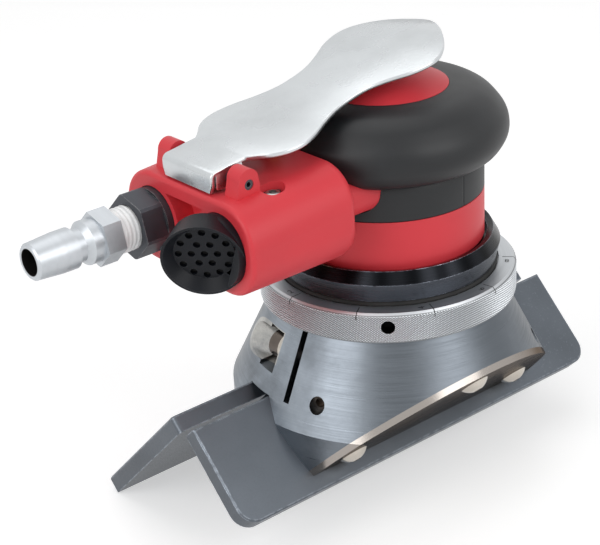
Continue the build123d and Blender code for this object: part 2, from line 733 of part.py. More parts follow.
with BuildPart() as nose_sleeve:
    with BuildSketch(Plane.XZ):
        with BuildLine():
            Polyline(
                (NOSE_BORE, NOSE_LOW),
                (NOSE_R - 1, NOSE_LOW),
                (NOSE_R, NOSE_LOW + 1),
                (NOSE_R, BARREL_Z),
                (BARREL_BORE - SEAT, BARREL_Z),
                (BARREL_BORE - SEAT, LOWER_PLATE_Z),
                (LOWER_BOSS_R + SEAT, LOWER_PLATE_Z),
                (LOWER_BOSS_R + SEAT, LOWER_BOSS_Z),
                (NOSE_BORE, LOWER_BOSS_Z),
                close=True,
            )
        make_face()
    revolve(axis=Axis.Z)
    with Locations((0, NOSE_R, KEY_STOP_Z + KEY_STOP_H / 2)):
        Box(KEY_STOP_W, 2 * KEY_STOP_SINK, KEY_STOP_H, mode=Mode.SUBTRACT)
save(nose_sleeve, "nose_sleeve")

with BuildPart() as guide_key:
    with Locations((0, NOSE_R + (KEY_STOP_PROUD - KEY_STOP_SINK) / 2, KEY_STOP_Z + KEY_STOP_H / 2)):
        Box(KEY_STOP_W, KEY_STOP_PROUD + KEY_STOP_SINK, KEY_STOP_H)
save(guide_key, "guide_key")


# ---------------------------------------------------------------- motor housing
def block_section(x, height):
    """Cross-section of the handle block at a place along X."""
    place = Plane(origin=(x, 0, BLOCK_Z + height / 2), x_dir=(0, 1, 0), z_dir=(1, 0, 0))
    with BuildSketch(place, mode=Mode.PRIVATE) as section:
        RectangleRounded(2 * BLOCK_HALF_W, height, BLOCK_CORNER)
    return section.sketch.face()


def neck_block():
    """Neck between the handle block and the barrel, as a private solid."""
    with BuildPart(mode=Mode.PRIVATE) as neck:
        with BuildSketch(Plane.YZ.offset(BLOCK_IN - 2)):
            with Locations((0, NECK_Z + NECK_H / 2)):
                RectangleRounded(2 * NECK_HALF_W, NECK_H, NECK_CORNER)
        extrude(amount=-BLOCK_IN - UNDER_GRIP_R / 2)
    return neck.part


def along_x(radius, x_from, x_to, y, z, mode=Mode.SUBTRACT):
    """A cylinder along X inside the running builder."""
    with Locations(Location(((x_from + x_to) / 2, y, z), (0, 90, 0))):
        Cylinder(radius, abs(x_to - x_from), mode=mode)


def along_z(radius, z_from, z_to, x, y, mode=Mode.SUBTRACT):
    """A cylinder along Z inside the running builder."""
    with Locations((x, y, (z_from + z_to) / 2)):
        Cylinder(radius, abs(z_to - z_from), mode=mode)


def block_top(x):
    """Height of the handle block's top face at a place along X."""
    return BLOCK_Z + BLOCK_H + BLOCK_RISE * (x - BLOCK_END) / (BLOCK_IN - BLOCK_END)


crown_rise = CROWN_Z - CROWN_EDGE_Z
crown_r = (CROWN_EDGE_R**2 + crown_rise**2) / (2 * crown_rise)

with BuildPart() as handle_block:
    loft([block_section(BLOCK_END, BLOCK_H), block_section(BLOCK_IN, BLOCK_H + BLOCK_RISE)], ruled=True)
    end_faces = faces().sort_by(Axis.X)
    fillet(end_faces[0].outer_wire().edges(), BLOCK_EDGE)
    fillet(faces().sort_by(Axis.X)[-1].outer_wire().edges(), BLOCK_IN_EDGE)

with BuildPart() as housing:
    with BuildSketch(Plane.XZ):
        with BuildLine():
            Polyline(
                (0, BARREL_Z),
                (BARREL_R - BARREL_ROUND, BARREL_Z),
            )
            RadiusArc(
                (BARREL_R - BARREL_ROUND, BARREL_Z),
                (BARREL_R, BARREL_Z + BARREL_ROUND),
                -BARREL_ROUND,
            )
            Polyline(
                (BARREL_R, BARREL_Z + BARREL_ROUND),
                (BARREL_R, GRIP_Z),
                (UNDER_GRIP_R, GRIP_Z),
                (UNDER_GRIP_R, SHOULDER_Z),
                (SHOULDER_TOP_R, SHOULDER_TOP_Z),
                (CROWN_EDGE_R, CROWN_STEP_Z),
                (CROWN_EDGE_R, CROWN_EDGE_Z),
            )
            RadiusArc((CROWN_EDGE_R, CROWN_EDGE_Z), (0, CROWN_Z), -crown_r)
            Line((0, CROWN_Z), (0, BARREL_Z))
        make_face()
    revolve(axis=Axis.Z)
    add(neck_block())
    add(handle_block.part)
    # lever ears
    ear_plane = Plane(origin=(PIN_X, 0, PIN_Z), x_dir=(1, 0, 0), z_dir=(0, -1, 0))
    with BuildSketch(ear_plane.offset(EAR_IN), ear_plane.offset(-EAR_OUT)):
        with Locations((0, EAR_RISE)):
            Circle(EAR_R)
        Polygon(
            (-EAR_R, EAR_RISE),
            (EAR_R, EAR_RISE),
            (EAR_FOOT, -EAR_SINK),
            (-EAR_FOOT, -EAR_SINK),
            align=None,
        )
    extrude(amount=EAR_OUT - EAR_IN)
    with Locations(ear_plane):
        Cylinder(PIN_R + SEAT, 2 * EAR_OUT + PIN_R, mode=Mode.SUBTRACT)
    # motor bores
    along_z(BARREL_BORE, BARREL_Z, BORE_TOP, 0, 0)
    along_z(CAP_BORE_R, BORE_TOP, CAP_BORE_TOP, 0, 0)
    # inlet
    along_x(INLET_SOCKET_R, BLOCK_END, COUNTERBORE_END, PORT_Y, PORT_Z)
    shank_hole_end = BLOCK_END + COLLAR_SINK + BUSHING_SHANK_L + 1
    along_x(BUSHING_SHANK_R + SEAT, COUNTERBORE_END, shank_hole_end, PORT_Y, PORT_Z)
    along_x(INLET_PASSAGE_R, shank_hole_end, INLET_PASSAGE_END, PORT_Y, PORT_Z)
    # exhaust
    along_x(SOCKET_R, BLOCK_END, BLOCK_END + SOCKET_D, -PORT_Y, PORT_Z)
    along_x(EXHAUST_R, BLOCK_END + SOCKET_D, -BARREL_BORE / 2, -PORT_Y, PORT_Z)
    # throttle valve chamber, cross feed below the seat and feed above it
    along_z(VALVE_R, BLOCK_Z, VALVE_TOP, STEM_X, 0)
    along_z(BUSH_R + SEAT, VALVE_TOP, BLOCK_Z + BLOCK_H + BLOCK_RISE, STEM_X, 0)
    with Locations(Location((STEM_X, PORT_Y / 2, POPPET_Z), (90, 0, 0))):
        Cylinder(CROSS_R, PORT_Y, mode=Mode.SUBTRACT)
    along_x(FEED_R, STEM_X, -BARREL_BORE + HOUSING_WALL, 0, FEED_Z)
    # waisted pocket between the sockets
    with BuildSketch(Plane.YZ.offset(BLOCK_END)):
        with Locations((0, (RECESS_TOP + RECESS_LOW) / 2)):
            Rectangle(2 * PORT_Y - 2 * RECESS_WALL, RECESS_TOP - RECESS_LOW)
        with Locations((PORT_Y, PORT_Z)):
            Circle(INLET_SOCKET_R + RECESS_WALL, mode=Mode.SUBTRACT)
        with Locations((-PORT_Y, PORT_Z)):
            Circle(SOCKET_R + RECESS_WALL, mode=Mode.SUBTRACT)
    extrude(amount=RECESS_D, mode=Mode.SUBTRACT)
    # regulator
    with BuildSketch(Plane.XY.offset(REG_HEAD_Z - REG_HEAD_H)):
        with Locations((REG_X, REG_Y)):
            SlotOverall(REG_RECESS_L, 2 * REG_RECESS_R)
    extrude(amount=BLOCK_H, mode=Mode.SUBTRACT)
    along_z(REG_R + RUN, PORT_Z, REG_HEAD_Z, REG_X, REG_Y)
save(housing, "housing")


# ---------------------------------------------------------------- rubber grip
with BuildPart() as grip:
    with BuildSketch(Plane.XZ):
        with BuildLine():
            Polyline(
                (UNDER_GRIP_R, GRIP_Z),
                (BARREL_R, GRIP_Z),
                (BARREL_R, CREASE_Z - CREASE_EDGE),
                (CREASE_R, CREASE_Z),
            )
            Spline(
                (CREASE_R, CREASE_Z),
                (BARREL_R + BELLY_OUT, BELLY_Z),
                (BULGE_R, BULGE_Z),
                (BULGE_R - SHOULDER_ROUND_IN, SHOULDER_ROUND_Z),
                (BULGE_R - BROW_IN, BROW_Z),
                (CROWN_EDGE_R, CROWN_EDGE_Z - SEAT),
            )
            Polyline(
                (CROWN_EDGE_R, CROWN_EDGE_Z - SEAT),
                (CROWN_EDGE_R, CROWN_STEP_Z),
                (SHOULDER_TOP_R, SHOULDER_TOP_Z),
                (UNDER_GRIP_R, SHOULDER_Z),
                (UNDER_GRIP_R, GRIP_Z),
            )
        make_face()
    revolve(axis=Axis.Z)
    add(neck_block(), mode=Mode.SUBTRACT)
    add(handle_block.part, mode=Mode.SUBTRACT)
save(grip, "grip")


# ---------------------------------------------------------------- air motor
def tube(outer, inner, z_from, z_to):
    """An upright tube on the spindle axis inside the running builder."""
    along_z(outer, z_from, z_to, 0, 0, mode=Mode.ADD)
    along_z(inner, z_from, z_to, 0, 0)


with BuildPart() as motor_cylinder:
    along_z(BARREL_BORE - SEAT, MOTOR_Z, MOTOR_TOP, 0, 0, mode=Mode.ADD)
    along_z(LINER_BORE, MOTOR_Z, MOTOR_TOP, LINER_OFFSET, 0)
    along_x(FEED_R, -BARREL_BORE, 0, 0, FEED_Z)
    along_x(FEED_R, -BARREL_BORE, 0, -PORT_Y, PORT_Z)
save(motor_cylinder, "motor_cylinder")

with BuildPart() as lower_end_plate:
    tube(BARREL_BORE - SEAT, LOWER_BEARING_BORE + LOOSE, LOWER_PLATE_Z, MOTOR_Z)
    tube(LOWER_BOSS_R, LOWER_BEARING_R + SEAT, LOWER_BOSS_Z, LOWER_PLATE_Z)
save(lower_end_plate, "lower_end_plate")

with BuildPart() as upper_end_plate:
    tube(BARREL_BORE - SEAT, ROTOR_SHAFT_R + LOOSE, MOTOR_TOP, MOTOR_TOP + END_PLATE_T)
    tube(UPPER_BOSS_R, ROTOR_SHAFT_R + LOOSE, MOTOR_TOP, UPPER_BOSS_TOP)
    along_z(UPPER_BEARING_R + SEAT, UPPER_BEARING_Z, UPPER_BOSS_TOP, 0, 0)
save(upper_end_plate, "upper_end_plate")


def bearing(bore_r, outer_r, width, z, where):
    """A deep-groove ball bearing as two races and a set of balls."""
    pitch_r = (bore_r + outer_r) / 2
    ball_r = (outer_r - bore_r - 2 * RACE_T) / 2 + BALL_SINK
    with BuildPart() as outer_race:
        tube(outer_r, outer_r - RACE_T, z, z + width)
        with Locations((0, 0, z + width / 2)):
            Torus(pitch_r, ball_r + RUN, mode=Mode.SUBTRACT)
    with BuildPart() as inner_race:
        tube(bore_r + RACE_T, bore_r, z, z + width)
        with Locations((0, 0, z + width / 2)):
            Torus(pitch_r, ball_r + RUN, mode=Mode.SUBTRACT)
    with BuildPart() as balls:
        with Locations((0, 0, z + width / 2)):
            with PolarLocations(pitch_r, BALL_COUNT):
                Sphere(ball_r)
    save(outer_race, f"{where}_bearing_outer_race")
    save(inner_race, f"{where}_bearing_inner_race")
    save(balls, f"{where}_bearing_balls")


bearing(LOWER_BEARING_BORE, LOWER_BEARING_R, LOWER_BEARING_W, LOWER_BOSS_Z, "lower")
bearing(UPPER_BEARING_BORE, UPPER_BEARING_R, UPPER_BEARING_W, UPPER_BEARING_Z, "upper")

# the rotor runs between the end plates
ROTOR_Z = MOTOR_Z + 2 * RUN
ROTOR_H = MOTOR_H - 4 * RUN

with BuildPart() as rotor:
    tube(ROTOR_R, ROTOR_SHAFT_R + SEAT, ROTOR_Z, ROTOR_Z + ROTOR_H)
    with Locations((0, 0, ROTOR_Z + ROTOR_H / 2)):
        with PolarLocations((VANE_ROOT + ROTOR_R) / 2 + 1, VANE_COUNT, start_angle=36):
            Box(ROTOR_R - VANE_ROOT + 2, VANE_T + 2 * RUN, ROTOR_H, mode=Mode.SUBTRACT)
    with Locations((ROTOR_SHAFT_R, 0, ROTOR_Z + ROTOR_H / 2)):
        Box(2 * KEY_H, KEY_W, ROTOR_H, mode=Mode.SUBTRACT)
save(rotor, "rotor")

with BuildPart() as rotor_vanes:
    with Locations((0, 0, ROTOR_Z + ROTOR_H / 2)):
        vane_w = ROTOR_R - VANE_ROOT - VANE_SINK
        with PolarLocations((VANE_ROOT + ROTOR_R) / 2, VANE_COUNT, start_angle=36):
            Box(vane_w, VANE_T, ROTOR_H)
save(rotor_vanes, "rotor_vanes")

with BuildPart() as rotor_key:
    with Locations((ROTOR_SHAFT_R, 0, ROTOR_Z + ROTOR_H / 2)):
        Box(2 * (KEY_H - 2 * RUN), KEY_W, KEY_L)
save(rotor_key, "rotor_key")

with BuildPart() as spindle:
    along_z(ARBOR_R, SPINDLE_TIP_Z, CUTTER_TOP, 0, 0, mode=Mode.ADD)
    along_z(FLANGE_R, CUTTER_TOP, CUTTER_TOP + FLANGE_H, 0, 0, mode=Mode.ADD)
    along_z(SHANK_R, CUTTER_TOP + FLANGE_H, LOWER_BOSS_Z, 0, 0, mode=Mode.ADD)
    along_z(LOWER_BEARING_BORE - SEAT, LOWER_BOSS_Z, MOTOR_Z, 0, 0, mode=Mode.ADD)
    along_z(ROTOR_SHAFT_R, MOTOR_Z, UPPER_BEARING_Z, 0, 0, mode=Mode.ADD)
    upper_journal_end = UPPER_BEARING_Z + UPPER_BEARING_W
    along_z(UPPER_BEARING_BORE - SEAT, UPPER_BEARING_Z, upper_journal_end, 0, 0, mode=Mode.ADD)
    with Locations((ROTOR_SHAFT_R, 0, ROTOR_Z + ROTOR_H / 2)):
        Box(2 * KEY_H, KEY_W, KEY_L, mode=Mode.SUBTRACT)
    along_z(BOLT_R + SEAT, SPINDLE_TIP_Z, SPINDLE_TIP_Z + BOLT_L, 0, 0)
save(spindle, "spindle")


# ---------------------------------------------------------------- cutter
def insert_planes():
    """Places of the cutter inserts: origin mid-insert, Z along the direction of the cut."""
    places = []
    for turn in range(INSERT_COUNT):
        angle = 60 + turn * 360 / INSERT_COUNT
        out = radians(angle)
        radius = CUTTER_R + INSERT_OUT - INSERT_SIZE / 2
        places.append(
            Plane(
                origin=polar(radius, angle, INSERT_SIZE / 2),
                x_dir=(cos(out), sin(out), 0),
                z_dir=(-sin(out), cos(out), 0),
            )
        )
    return places


with BuildPart() as cutter_head:
    along_z(CUTTER_R, CUTTER_LIFT, CUTTER_TOP, 0, 0, mode=Mode.ADD)
    chamfer(faces().sort_by(Axis.Z)[-1].edges(), 2)
    along_z(ARBOR_R + SEAT, SPINDLE_TIP_Z - LOOSE, CUTTER_TOP, 0, 0)
    along_z(BOLT_R + LOOSE, CUTTER_LIFT, SPINDLE_TIP_Z, 0, 0)
    along_z(BOLT_HEAD_R + LOOSE, CUTTER_LIFT, BOLT_SEAT_Z, 0, 0)
    for place in insert_planes():
        with Locations(place):
            # pocket for the insert, and the chip gullet before it
            pocket_l = INSERT_SIZE + INSERT_OUT + 1
            with Locations((INSERT_OUT / 2, 0, 0)):
                Box(
                    pocket_l,
                    GULLET_H,
                    GULLET_W + INSERT_T,
                    align=(Align.CENTER, Align.CENTER, Align.MIN),
                    mode=Mode.SUBTRACT,
                )
            Cylinder(INSERT_SCREW_R + SEAT, 2 * INSERT_SCREW_L, mode=Mode.SUBTRACT)
save(cutter_head, "cutter_head")

with BuildPart() as cutter_inserts:
    for place in insert_planes():
        with Locations(place):
            Box(INSERT_SIZE, INSERT_SIZE, INSERT_T, align=(Align.CENTER, Align.CENTER, Align.MIN))
            CounterSinkHole(INSERT_SCREW_R + RUN, INSERT_SCREW_HEAD_R + RUN, 3 * INSERT_T)
    for place in insert_planes():
        with Locations(place.offset(INSERT_T)):
            CounterSinkHole(INSERT_SCREW_R + RUN, INSERT_SCREW_HEAD_R + RUN, 2 * INSERT_T)
save(cutter_inserts, "cutter_inserts")

with BuildPart() as insert_screws:
    for place in insert_planes():
        with Locations(place.offset(INSERT_T)):
            head_h = INSERT_SCREW_HEAD_R - INSERT_SCREW_R
            with Locations((0, 0, -head_h)):
                Cone(
                    INSERT_SCREW_R,
                    INSERT_SCREW_HEAD_R,
                    head_h,
                    align=(Align.CENTER, Align.CENTER, Align.MIN),
                )
            Cylinder(INSERT_SCREW_R, INSERT_SCREW_L, align=(Align.CENTER, Align.CENTER, Align.MAX))
            Cylinder(INSERT_SCREW_R * SOCKET_SHARE, INSERT_SCREW_R, mode=Mode.SUBTRACT)
save(insert_screws, "insert_screws")

with BuildPart() as cutter_bolt:
    along_z(BOLT_HEAD_R, BOLT_SEAT_Z - BOLT_HEAD_H, BOLT_SEAT_Z, 0, 0, mode=Mode.ADD)
    along_z(BOLT_R, BOLT_SEAT_Z, SPINDLE_TIP_Z + BOLT_L - 1, 0, 0, mode=Mode.ADD)
    with BuildSketch(Plane.XY.offset(BOLT_SEAT_Z - BOLT_HEAD_H)):
        RegularPolygon(BOLT_HEX / 2, 6, major_radius=False)
    extrude(amount=BOLT_HEAD_H / 2, mode=Mode.SUBTRACT)
save(cutter_bolt, "cutter_bolt")


# ---------------------------------------------------------------- throttle lever
with BuildPart() as lever_plan:
    with BuildSketch(Plane.XY.offset(CHEEK_Z)):
        with BuildLine():
            near_side = [(x, -y) for x, y in reversed(LEVER_SIDE)]
            Spline(*LEVER_SIDE, (LEVER_CREST[-1][0], 0), *near_side)
            Polyline(
                near_side[-1],
                (LEVER_REAR, -LEVER_HALF),
                (LEVER_REAR, LEVER_HALF),
                LEVER_SIDE[0],
            )
        make_face()
    extrude(amount=REACH)

with BuildPart() as lever:
    with BuildSketch(Plane.XZ):
        with BuildLine():
            crest = [Vector(x, z) for x, z in LEVER_CREST]
            under = [Vector(x, z - LEVER_T) for x, z in LEVER_CREST]
            Spline(*crest)
            Line(crest[-1], under[-1])
            Spline(*under)
            Line(under[0], crest[0])
        make_face()
    extrude(amount=PADDLE_HALF + 1, both=True)
    # rear lip and the two cheeks that the pin passes
    with Locations((LEVER_REAR + LEVER_T / 2, 0, (LIP_Z + LEVER_REAR_Z - LEVER_T / 2) / 2)):
        Box(LEVER_T, 2 * LEVER_HALF, LEVER_REAR_Z - LEVER_T / 2 - LIP_Z)
    for side in (-1, 1):
        with BuildSketch(Plane.XZ.offset(-side * (LEVER_HALF - LEVER_T / 2))):
            with BuildLine():
                Polyline(
                    (LEVER_REAR, CHEEK_Z),
                    (CHEEK_X, CHEEK_Z),
                    (LEVER_SIDE[0][0], LEVER_REAR_Z),
                    (LEVER_REAR, LEVER_REAR_Z - LEVER_T / 2),
                    close=True,
                )
            make_face()
        extrude(amount=LEVER_T / 2, both=True)
    add(lever_plan.part, mode=Mode.INTERSECT)
    with Locations(Location((PIN_X, 0, PIN_Z), (90, 0, 0))):
        Cylinder(PIN_R + RUN, 2 * REACH, mode=Mode.SUBTRACT)
save(lever, "lever")

with BuildPart() as lever_pin:
    with Locations(Location((PIN_X, 0, PIN_Z), (90, 0, 0))):
        Cylinder(PIN_R, 2 * (EAR_OUT - PIN_SINK))
        Cylinder(PIN_BORE, 2 * EAR_OUT, mode=Mode.SUBTRACT)
save(lever_pin, "lever_pin")


# ---------------------------------------------------------------- throttle valve
CAP_TOP = BLOCK_Z + CAP_H
BUSH_TOP = block_top(STEM_X) + BUSH_PROUD

with BuildPart() as valve_stem:
    along_z(STEM_R, POPPET_Z, STEM_TOP, STEM_X, 0, mode=Mode.ADD)
    fillet(faces().sort_by(Axis.Z)[-1].edges(), STEM_ROUND)
    along_z(POPPET_R, POPPET_Z, POPPET_Z + POPPET_H - 2 * RUN, STEM_X, 0, mode=Mode.ADD)
save(valve_stem, "valve_stem")

with BuildPart() as valve_seat:
    along_z(VALVE_R - SEAT, SEAT_Z, SEAT_Z + SEAT_H, STEM_X, 0, mode=Mode.ADD)
    along_z(SEAT_BORE, SEAT_Z, SEAT_Z + SEAT_H, STEM_X, 0)
save(valve_seat, "valve_seat")

with BuildPart() as valve_bushing:
    along_z(BUSH_R, VALVE_TOP, BUSH_TOP, STEM_X, 0, mode=Mode.ADD)
    along_z(STEM_R + RUN, VALVE_TOP, BUSH_TOP, STEM_X, 0)
save(valve_bushing, "valve_bushing")

with BuildPart() as valve_cap:
    along_z(VALVE_R - SEAT, BLOCK_Z, CAP_TOP, STEM_X, 0, mode=Mode.ADD)
    with BuildSketch(Plane.XY.offset(BLOCK_Z)):
        with Locations((STEM_X, 0)):
            RegularPolygon(CAP_SOCKET_R, 6, major_radius=False)
    extrude(amount=CAP_SOCKET_D, mode=Mode.SUBTRACT)
save(valve_cap, "valve_cap")

with BuildPart() as valve_spring:
    coil_low = CAP_TOP + SPRING_WIRE
    coil_h = POPPET_Z - CAP_TOP - 2 * SPRING_WIRE
    with BuildLine(Plane(origin=(STEM_X, 0, coil_low))) as coil:
        Helix(coil_h / SPRING_TURNS, coil_h, SPRING_R)
    with BuildSketch(Plane(origin=coil.line @ 0, z_dir=coil.line % 0)):
        Circle(SPRING_WIRE)
    sweep(is_frenet=True)
save(valve_spring, "valve_spring")


# ---------------------------------------------------------------- inlet
def hexagon_x(across_flats, x_from, length):
    """A hexagonal bar along X on the inlet's axis, inside the running builder."""
    place = Plane(origin=(x_from, PORT_Y, PORT_Z), x_dir=(0, 1, 0), z_dir=(1, 0, 0))
    with BuildSketch(place, mode=Mode.PRIVATE) as hexagon:
        RegularPolygon(across_flats / 2, 6, major_radius=False, rotation=15)
    extrude(hexagon.sketch, amount=length)


with BuildPart() as inlet_bushing:
    hexagon_x(BUSHING_HEX, BUSHING_END, BUSHING_HEX_L)
    hex_round = BUSHING_HEX / 2 * HEX_TO_CORNER - HEX_CORNER_CUT
    along_x(hex_round, BUSHING_END, COLLAR_END, PORT_Y, PORT_Z, Mode.INTERSECT)
    along_x(COLLAR_R, COLLAR_END, BLOCK_END + COLLAR_SINK, PORT_Y, PORT_Z, Mode.ADD)
    shank_end = BLOCK_END + COLLAR_SINK + BUSHING_SHANK_L
    along_x(BUSHING_SHANK_R, BLOCK_END, shank_end, PORT_Y, PORT_Z, Mode.ADD)
    along_x(INLET_BORE, BUSHING_END, shank_end, PORT_Y, PORT_Z)
save(inlet_bushing, "inlet_bushing")

with BuildPart() as inlet_seal:
    along_x(COLLAR_R, BLOCK_END + COLLAR_SINK, COUNTERBORE_END, PORT_Y, PORT_Z, Mode.ADD)
    along_x(BUSHING_SHANK_R + SEAT, BLOCK_END + COLLAR_SINK, COUNTERBORE_END, PORT_Y, PORT_Z)
save(inlet_seal, "inlet_seal")

with BuildPart() as inlet_strainer:
    strainer_x = shank_end - STRAINER_L
    along_x(INLET_BORE - SEAT, strainer_x, shank_end, PORT_Y, PORT_Z, Mode.ADD)
    along_x(INLET_BORE - STRAINER_WALL, strainer_x, shank_end - STRAINER_END_T, PORT_Y, PORT_Z)
    strainer_end = Plane(origin=(shank_end, PORT_Y, PORT_Z), x_dir=(0, 1, 0), z_dir=(1, 0, 0))
    with Locations(strainer_end):
        with HexLocations(STRAINER_PITCH, STRAINER_ROWS, STRAINER_ROWS):
            Cylinder(STRAINER_HOLE_R, 3 * STRAINER_END_T, mode=Mode.SUBTRACT)
save(inlet_strainer, "inlet_strainer")

with BuildPart() as air_plug:
    plug_axis = Plane(origin=(0, PORT_Y, PORT_Z), x_dir=(1, 0, 0), z_dir=(0, -1, 0))
    with BuildSketch(plug_axis):
        with BuildLine():
            groove_end = PLUG_GROOVE + PLUG_GROOVE_L
            Polyline(
                (PLUG_TIP, PLUG_BORE),
                (PLUG_TIP, PLUG_TIP_R - PLUG_BREAK),
                (PLUG_TIP + PLUG_BREAK, PLUG_TIP_R),
                (PLUG_GROOVE - PLUG_STRAIGHT, PLUG_R),
                (PLUG_GROOVE, PLUG_R),
                (PLUG_GROOVE + PLUG_BREAK, PLUG_GROOVE_R),
                (groove_end - PLUG_BREAK, PLUG_GROOVE_R),
                (groove_end + PLUG_SHOULDER, PLUG_BODY_R),
                (PLUG_HEX_X, PLUG_BODY_R),
                (PLUG_HEX_X + PLUG_HEX_L, PLUG_BODY_R),
                (PLUG_HEX_X + PLUG_HEX_L, PLUG_SHANK_R),
                (PLUG_SHANK_END, PLUG_SHANK_R),
                (PLUG_SHANK_END, PLUG_BORE),
                close=True,
            )
        make_face()
    revolve(axis=Axis((0, PORT_Y, PORT_Z), (1, 0, 0)))
    hexagon_x(PLUG_HEX, PLUG_HEX_X, PLUG_HEX_L)
    along_x(PLUG_BORE, PLUG_TIP, PLUG_SHANK_END, PORT_Y, PORT_Z)
save(air_plug, "air_plug")

with BuildPart() as thread_tape:
    along_x(TAPE_R, PLUG_HEX_X + PLUG_HEX_L, PLUG_SHANK_END, PORT_Y, PORT_Z, Mode.ADD)
    along_x(PLUG_SHANK_R, PLUG_HEX_X + PLUG_HEX_L, PLUG_SHANK_END, PORT_Y, PORT_Z)
save(thread_tape, "thread_tape")


# ---------------------------------------------------------------- exhaust muffler
turn = radians(CUP_TURN)
drop = radians(CUP_DROP)
cup_out = Vector(-cos(drop) * cos(turn), -cos(drop) * sin(turn), -sin(drop))
cup_plane = Plane(origin=(PIVOT_X, -PORT_Y, PORT_Z), x_dir=(sin(turn), -cos(turn), 0), z_dir=cup_out)
cup_core = CUP_BASE_R - CUP_WALL
tube_in_end = BLOCK_END + SOCKET_D - LOOSE

with BuildPart() as cup_shell:
    with Locations(cup_plane.offset(-CUP_BACK)):
        Cone(CUP_BASE_R, CUP_RIM_R, CUP_BACK + CUP_FRONT, align=(Align.CENTER, Align.CENTER, Align.MIN))
    with Locations((BLOCK_END - LOOSE, -PORT_Y, PORT_Z)):
        Box(REACH, REACH, REACH, align=(Align.MIN, Align.CENTER, Align.CENTER), mode=Mode.SUBTRACT)

with BuildPart() as muffler_elbow:
    along_x(ELBOW_R, ELBOW_END, tube_in_end, -PORT_Y, PORT_Z, Mode.ADD)
    add(cup_shell.part)
    # flared mouth, seat for the grille, and the way in from the socket
    with Locations(cup_plane.offset(CUP_FRONT)):
        with Locations((0, 0, -GRILLE_SINK)):
            Cone(
                cup_core,
                CUP_RIM_R - CUP_WALL / 2,
                GRILLE_SINK,
                align=(Align.CENTER, Align.CENTER, Align.MIN),
                mode=Mode.SUBTRACT,
            )
            Cylinder(
                cup_core,
                GRILLE_T + FELT_T,
                align=(Align.CENTER, Align.CENTER, Align.MAX),
                mode=Mode.SUBTRACT,
            )
    along_x(ELBOW_BORE, ELBOW_END + ELBOW_END_T, tube_in_end, -PORT_Y, PORT_Z)
    seal_x = BLOCK_END + SOCKET_D / 2
    with Locations(Location((seal_x, -PORT_Y, PORT_Z), (0, 90, 0))):
        Cylinder(ELBOW_R + 1, EXHAUST_SEAL_W, mode=Mode.SUBTRACT)
        Cylinder(ELBOW_R - 1, EXHAUST_SEAL_W)
        Cylinder(ELBOW_BORE, EXHAUST_SEAL_W, mode=Mode.SUBTRACT)
save(muffler_elbow, "muffler_elbow")

with BuildPart() as muffler_seal:
    with Locations(Location((seal_x, -PORT_Y, PORT_Z), (0, 90, 0))):
        Cylinder(SOCKET_R - RUN, EXHAUST_SEAL_W)
        Cylinder(ELBOW_R - 1, EXHAUST_SEAL_W, mode=Mode.SUBTRACT)
save(muffler_seal, "muffler_seal")

grille_face = cup_plane.offset(CUP_FRONT - GRILLE_SINK)
with BuildPart() as muffler_grille:
    with Locations(grille_face):
        Cylinder(cup_core - SEAT, GRILLE_T, align=(Align.CENTER, Align.CENTER, Align.MAX))
        Cylinder(GRILLE_HOLE_R, 3 * GRILLE_T, mode=Mode.SUBTRACT)
        for ring_no, count in ((1, 6), (2, 12)):
            with PolarLocations(ring_no * GRILLE_PITCH, count):
                Cylinder(GRILLE_HOLE_R, 3 * GRILLE_T, mode=Mode.SUBTRACT)
save(muffler_grille, "muffler_grille")

with BuildPart() as muffler_felt:
    with Locations(grille_face.offset(-GRILLE_T)):
        Cylinder(cup_core - SEAT, FELT_T, align=(Align.CENTER, Align.CENTER, Align.MAX))
save(muffler_felt, "muffler_felt")


# ---------------------------------------------------------------- regulator
REG_COLLAR_TOP = REG_HEAD_Z - REG_HEAD_H + REG_COLLAR_H

with BuildPart() as regulator_screw:
    along_z(REG_R, REG_TIP, REG_HEAD_Z - REG_HEAD_H / 2, REG_X, REG_Y, mode=Mode.ADD)
    along_z(REG_HEAD_R, REG_HEAD_Z - REG_HEAD_H, REG_HEAD_Z, REG_X, REG_Y, mode=Mode.ADD)
    fillet(faces().sort_by(Axis.Z)[-1].edges(), REG_HEAD_ROUND)
    along_z(REG_COLLAR_R, REG_HEAD_Z - REG_HEAD_H, REG_COLLAR_TOP, REG_X, REG_Y, mode=Mode.ADD)
    with BuildSketch(Plane.XY.offset(REG_HEAD_Z)):
        with Locations((REG_X, REG_Y)):
            RegularPolygon(REG_SOCKET_R, 6, major_radius=False)
    extrude(amount=-REG_SOCKET_D, mode=Mode.SUBTRACT)
save(regulator_screw, "regulator_screw")

# spring clip in the recess, over the screw's collar
with BuildPart() as regulator_clip:
    clip_z = REG_COLLAR_TOP + 2 * RUN
    with BuildSketch(Plane.XY.offset(clip_z)):
        with Locations((REG_X, REG_Y)):
            SlotOverall(REG_RECESS_L - 2 * SEAT, 2 * REG_RECESS_R - 2 * SEAT)
            Circle(REG_HEAD_R + RUN, mode=Mode.SUBTRACT)
    extrude(amount=REG_CLIP_T)
    with Locations((REG_X + REG_RECESS_R, REG_Y, clip_z)):
        Box(REG_RECESS_R, REG_R, 4 * REG_CLIP_T, mode=Mode.SUBTRACT)
save(regulator_clip, "regulator_clip")
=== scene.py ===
from math import cos, pi, radians, sin, sqrt

import bmesh
import bpy
from mathutils import Matrix, Vector


